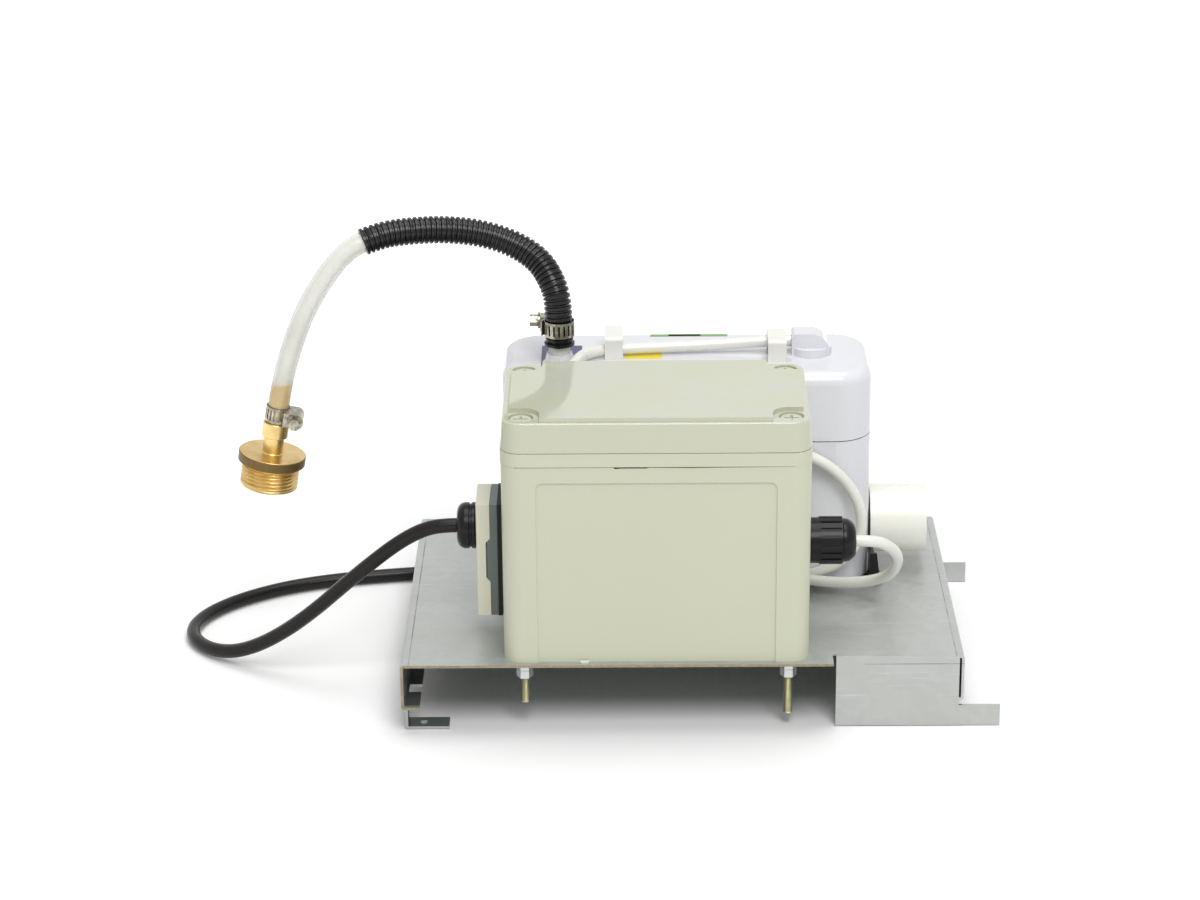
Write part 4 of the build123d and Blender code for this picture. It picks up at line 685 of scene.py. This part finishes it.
# A dark strip of painted shadow in the mould's split, which opens a hair under the rim: how tall it is at
# places along the front
split_shade_finish = finish_of("split_shadow", (0.03, 0.028, 0.02), 0.8, cloud=0.2, cloud_scale=300)
rim_low, rim_front, split_deep = 0.15880, -0.10632, 0.0002
split_tall = [
    (-0.1010, 0.0001), (-0.0980, 0.0002), (-0.0490, 0.0002), (-0.0480, 0.0001), (-0.0470, 0.0010),
    (-0.0440, 0.0007), (-0.0300, 0.0007), (-0.0290, 0.0003), (-0.0050, 0.0005), (0.0150, 0.0003),
    (0.0350, 0.0002), (0.0500, 0.0001),
]
verts = []
for across, tall in split_tall:
    for deep, down in ((0, 0), (0, -tall), (split_deep, -tall), (split_deep, 0)):
        verts.append((across, rim_front + deep, rim_low + down))
ends = [(3, 2, 1, 0), tuple(range(len(verts) - 4, len(verts)))]
split = mesh_object("rim_split_shade_strip", verts, ring_faces(len(split_tall), 4, False) + ends, split_shade_finish)
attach(split, "base")


def slab(name, near_face, far_face, material):
    """A thin piece between two outlines with the same number of points."""
    count = len(near_face)
    faces = [tuple(reversed(range(count))), tuple(range(count, 2 * count))]
    faces += ring_faces(2, count, False)
    return mesh_object(name, near_face + far_face, faces, material, sharp=40)


# A flake of moulding flash hangs from the box's lower edge
flash_white = finish_of("flash_white", (0.85, 0.86, 0.80), 0.3, cloud=0.05, cloud_scale=300)
flash_x, flash_front, flash_z, flash_thick = -0.0642, -0.1047, 0.0434, 0.0006
flash_outline = [
    (-0.00276, 0.0), (-0.00184, -0.0009), (-0.00046, -0.0015), (0.00092, -0.0012), (0.0023, -0.0002),
    (0.00253, 0.0004), (-0.00253, 0.0006),
]
flash_faces = [
    [(flash_x + across, flash_front + deep, flash_z + up) for across, up in flash_outline]
    for deep in (0, flash_thick)
]
flash = slab("moulding_flash", *flash_faces, flash_white)
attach(flash, "base")

# ---------------------------------------------------------------------------------------------
# Studs and nuts. M5 studs in yellow zinc with rolled threads, hung through the tray, each with
# a washer and two thin hexagon nuts in white zinc.
# ---------------------------------------------------------------------------------------------
yellow_zinc = finish_of("yellow_zinc", (0.52, 0.50, 0.32), 0.36, cloud=0.15, cloud_scale=120,
                        rough_change=0.1, grain=2500, bump=0.1, Metallic=0.9)
white_zinc = finish_of("white_zinc", (0.66, 0.67, 0.68), 0.30, cloud=0.1, cloud_scale=120,
                       rough_change=0.1, grain=2500, bump=0.1, Metallic=0.8)
stud_r, stud_pitch, stud_depth, stud_point = 0.0025, 0.0008, 0.00045, 0.0006
thread_top, head_low, head_top, head_r, head_edge = 0.0405, 0.0455, 0.0485, 0.0035, 0.0004
for side, across, low in (("left", -0.0977, 0.0150), ("right", 0.0483, 0.0075)):
    for depth, away in (("front", -0.09505), ("back", -0.01955)):
        profile = [
            (0.0, head_top), (head_r - head_edge, head_top), (head_r, head_top - head_edge),
            (head_r, head_low), (stud_r, head_low), (stud_r, thread_top),
            (stud_r, low + stud_point), (stud_r - stud_point, low), (0.0, low),
        ]
        thread = (low + stud_point, thread_top, stud_pitch, stud_r, stud_depth)
        place = Matrix.Translation((across, away, 0))
        stud = turned(f"stud_{depth}_{side}", profile, yellow_zinc, place, 20, thread, rows=5)
        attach(stud, "base")
        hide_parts("mounting_studs")
dress(["stud_nuts", "din_rail", "rail_screws"], white_zinc)
rounded("stud_nuts", 0.0003)

# ---------------------------------------------------------------------------------------------
# Cable gland, strain relief and brackets. Black glass-filled nylon and, on the cables and in
# the seams, black rubber.
# ---------------------------------------------------------------------------------------------
black_nylon = finish_of("black_nylon", (0.007, 0.007, 0.007), 0.24, cloud=0.2, cloud_scale=70,
                        rough_change=0.08, grain=1800, bump=0.08, dust_and_reflection=0.03, Specular_IOR_Level=0.2)
black_rubber = finish_of("black_rubber", (0.012, 0.012, 0.012), 0.6, cloud=0.2, cloud_scale=70, grain=1400,
                         bump=0.2, Specular_IOR_Level=0.25)
dress(["gland_body", "gland_nut", "gland_lock_nut", "strain_relief"], black_nylon)
dress(["mains_plug", "pump_brackets"], black_nylon)
dress(["gland_grommet", "cover_seal", "inlet_seal", "socket_gasket", "check_valve_ball"], black_rubber)

# ---------------------------------------------------------------------------------------------
# Supply connector. A slate grey socket on a rubber gasket whose lip wraps its back edge, and
# a beige plug plate pulled against it, with the strain relief screwed into its upper half.
# ---------------------------------------------------------------------------------------------
slate = finish_of("slate_plastic", (0.105, 0.13, 0.122), 0.36, cloud=0.06, cloud_scale=50, grain=1500,
                  bump=0.1)
beige = finish_of("beige_plastic", (0.66, 0.65, 0.52), 0.36, cloud=0.03, cloud_scale=40, grain=1500,
                  bump=0.08)
contact_brass = finish_of("contact_brass", (0.70, 0.50, 0.20), 0.25, cloud=0.1, cloud_scale=200,
                          Metallic=1.0)
dress(["supply_socket", "control_relay"], slate)
dress(["supply_plug"], beige)
dress(["socket_pins"], contact_brass)
rounded("supply_plug", 0.0005)
rounded("supply_socket", 0.0003)

# The gasket's lip: a thin square ring, out along its outer face and back along its inner one
lip_front, lip_back, lip_thick = -0.1125, -0.1102, 0.0003
socket_front, socket_back, socket_low, socket_top = -0.0733, -0.0413, 0.058, 0.124
verts = []
outer, inner = lip_thick, -lip_thick
for across, grow in ((lip_front, outer), (lip_back, outer), (lip_back, inner), (lip_front, inner)):
    y_low, y_high = socket_front - grow, socket_back + grow
    z_low, z_high = socket_low - grow, socket_top + grow
    verts += [(across, y, z) for y, z in ((y_low, z_low), (y_high, z_low), (y_high, z_high), (y_low, z_high))]
lip = mesh_object("gasket_lip", verts, ring_faces(4, 4, True), black_rubber, sharp=40)
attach(lip, "base")

# ---------------------------------------------------------------------------------------------
# Pump case. A glossy white moulding in two halves, the cover pushed down on the tank over a
# dark seal. The outlet spigot comes up through the cover, and the cable's entry sits on it.
# ---------------------------------------------------------------------------------------------
white_gloss = finish_of("case_white_gloss", (0.74, 0.745, 0.785), 0.12, cloud=0.015, cloud_scale=10,
                        rough_change=0.04, grain=400, bump=0.02, dust_and_reflection=0.05)
dress(["pump_tank", "pump_cover", "outlet_spigot", "cable_entry", "motor_deck"], white_gloss)


# ---------------------------------------------------------------------------------------------
# Blank labels on the pump's cover: dark blue at the outlet, yellow beside the cable, and a
# green one with a pale middle near the back edge. Printed film 0.15 mm thick.
# ---------------------------------------------------------------------------------------------
def label(name, across, away, colour):
    """A rectangle of film with rounded corners, lying on the cover."""
    film = finish_of(name + "_film", colour, 0.35, cloud=0.08, cloud_scale=200, grain=900, bump=0.08)
    corner = 0.0008
    outline = []
    for sx, sy, start in ((1, 1, 0), (-1, 1, 90), (-1, -1, 180), (1, -1, 270)):
        cx = (across[1] - corner) if sx > 0 else (across[0] + corner)
        cy = (away[1] - corner) if sy > 0 else (away[0] + corner)
        for turn in (0, 30, 60, 90):
            angle = radians(start + turn)
            outline.append((cx + corner * cos(angle), cy + corner * sin(angle)))
    underside, top = ([(x, y, label_low + up) for x, y in outline] for up in (0, label_thick))
    made = slab(name, underside, top, film)
    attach(made, "base")


label_low, label_thick = 0.17201, 0.00015
label("outlet_label", (-0.0895, -0.0662), (0.0130, 0.0550), (0.035, 0.045, 0.14))
label("yellow_label", (-0.0414, -0.0200), (0.0318, 0.0415), (0.85, 0.68, 0.02))
label("green_label", (-0.0266, 0.0187), (0.0705, 0.0742), (0.16, 0.35, 0.09))
label("green_label_middle", (-0.0160, 0.0030), (0.0712, 0.0742), (0.45, 0.62, 0.36))

# ---------------------------------------------------------------------------------------------
# Inlet pipe. A stub of ivory waste pipe with a stepped inner end, held in a rubber sleeve in
# the tank's right wall.
# ---------------------------------------------------------------------------------------------
ivory = finish_of("ivory_pipe", (0.86, 0.86, 0.78), 0.28, cloud=0.012, cloud_scale=30, rough_change=0.05,
                  grain=900, bump=0.03, dust_and_reflection=0.02)
dress(["inlet_pipe"], ivory)
rounded("inlet_pipe", 0.0003)

# ---------------------------------------------------------------------------------------------
# Saddle clips. Straps of natural nylon that hold the pump cable down on the cover. The clips
# that stop the float on its stem are of the same nylon.
# ---------------------------------------------------------------------------------------------
clip_nylon = finish_of("clip_nylon", (0.82, 0.82, 0.76), 0.35, cloud=0.04, cloud_scale=60, grain=900,
                       bump=0.06, Subsurface_Weight=0.15, Subsurface_Radius=(0.004, 0.004, 0.003))
dress(["cable_clips", "stem_clip"], clip_nylon)
rounded("cable_clips", 0.0003)

# ---------------------------------------------------------------------------------------------
# Works inside the cases: lacquered motor, ground shaft, grey moulded pump parts, closed-cell
# float and grey terminals.
# ---------------------------------------------------------------------------------------------
motor_lacquer = finish_of("motor_lacquer", (0.16, 0.17, 0.19), 0.4, cloud=0.08, cloud_scale=50, grain=1200,
                          bump=0.1)
ground_steel = finish_of("ground_steel", (0.60, 0.61, 0.62), 0.25, cloud=0.05, cloud_scale=90, grain=3000,
                         bump=0.08, Metallic=1.0)
grey_moulding = finish_of("grey_moulding", (0.27, 0.29, 0.30), 0.45, cloud=0.05, cloud_scale=50, grain=1200,
                          bump=0.1)
float_foam = finish_of("float_foam", (0.76, 0.75, 0.70), 0.7, cloud=0.06, cloud_scale=120, grain=2600,
                       bump=0.4)
dress(["motor_stator", "rotor_core"], motor_lacquer)
dress(["pump_shaft"], ground_steel)
dress(["impeller", "volute", "discharge_riser", "check_valve_body"], grey_moulding)
dress(["float_stem", "terminal_blocks"], grey_moulding)
dress(["float"], float_foam)
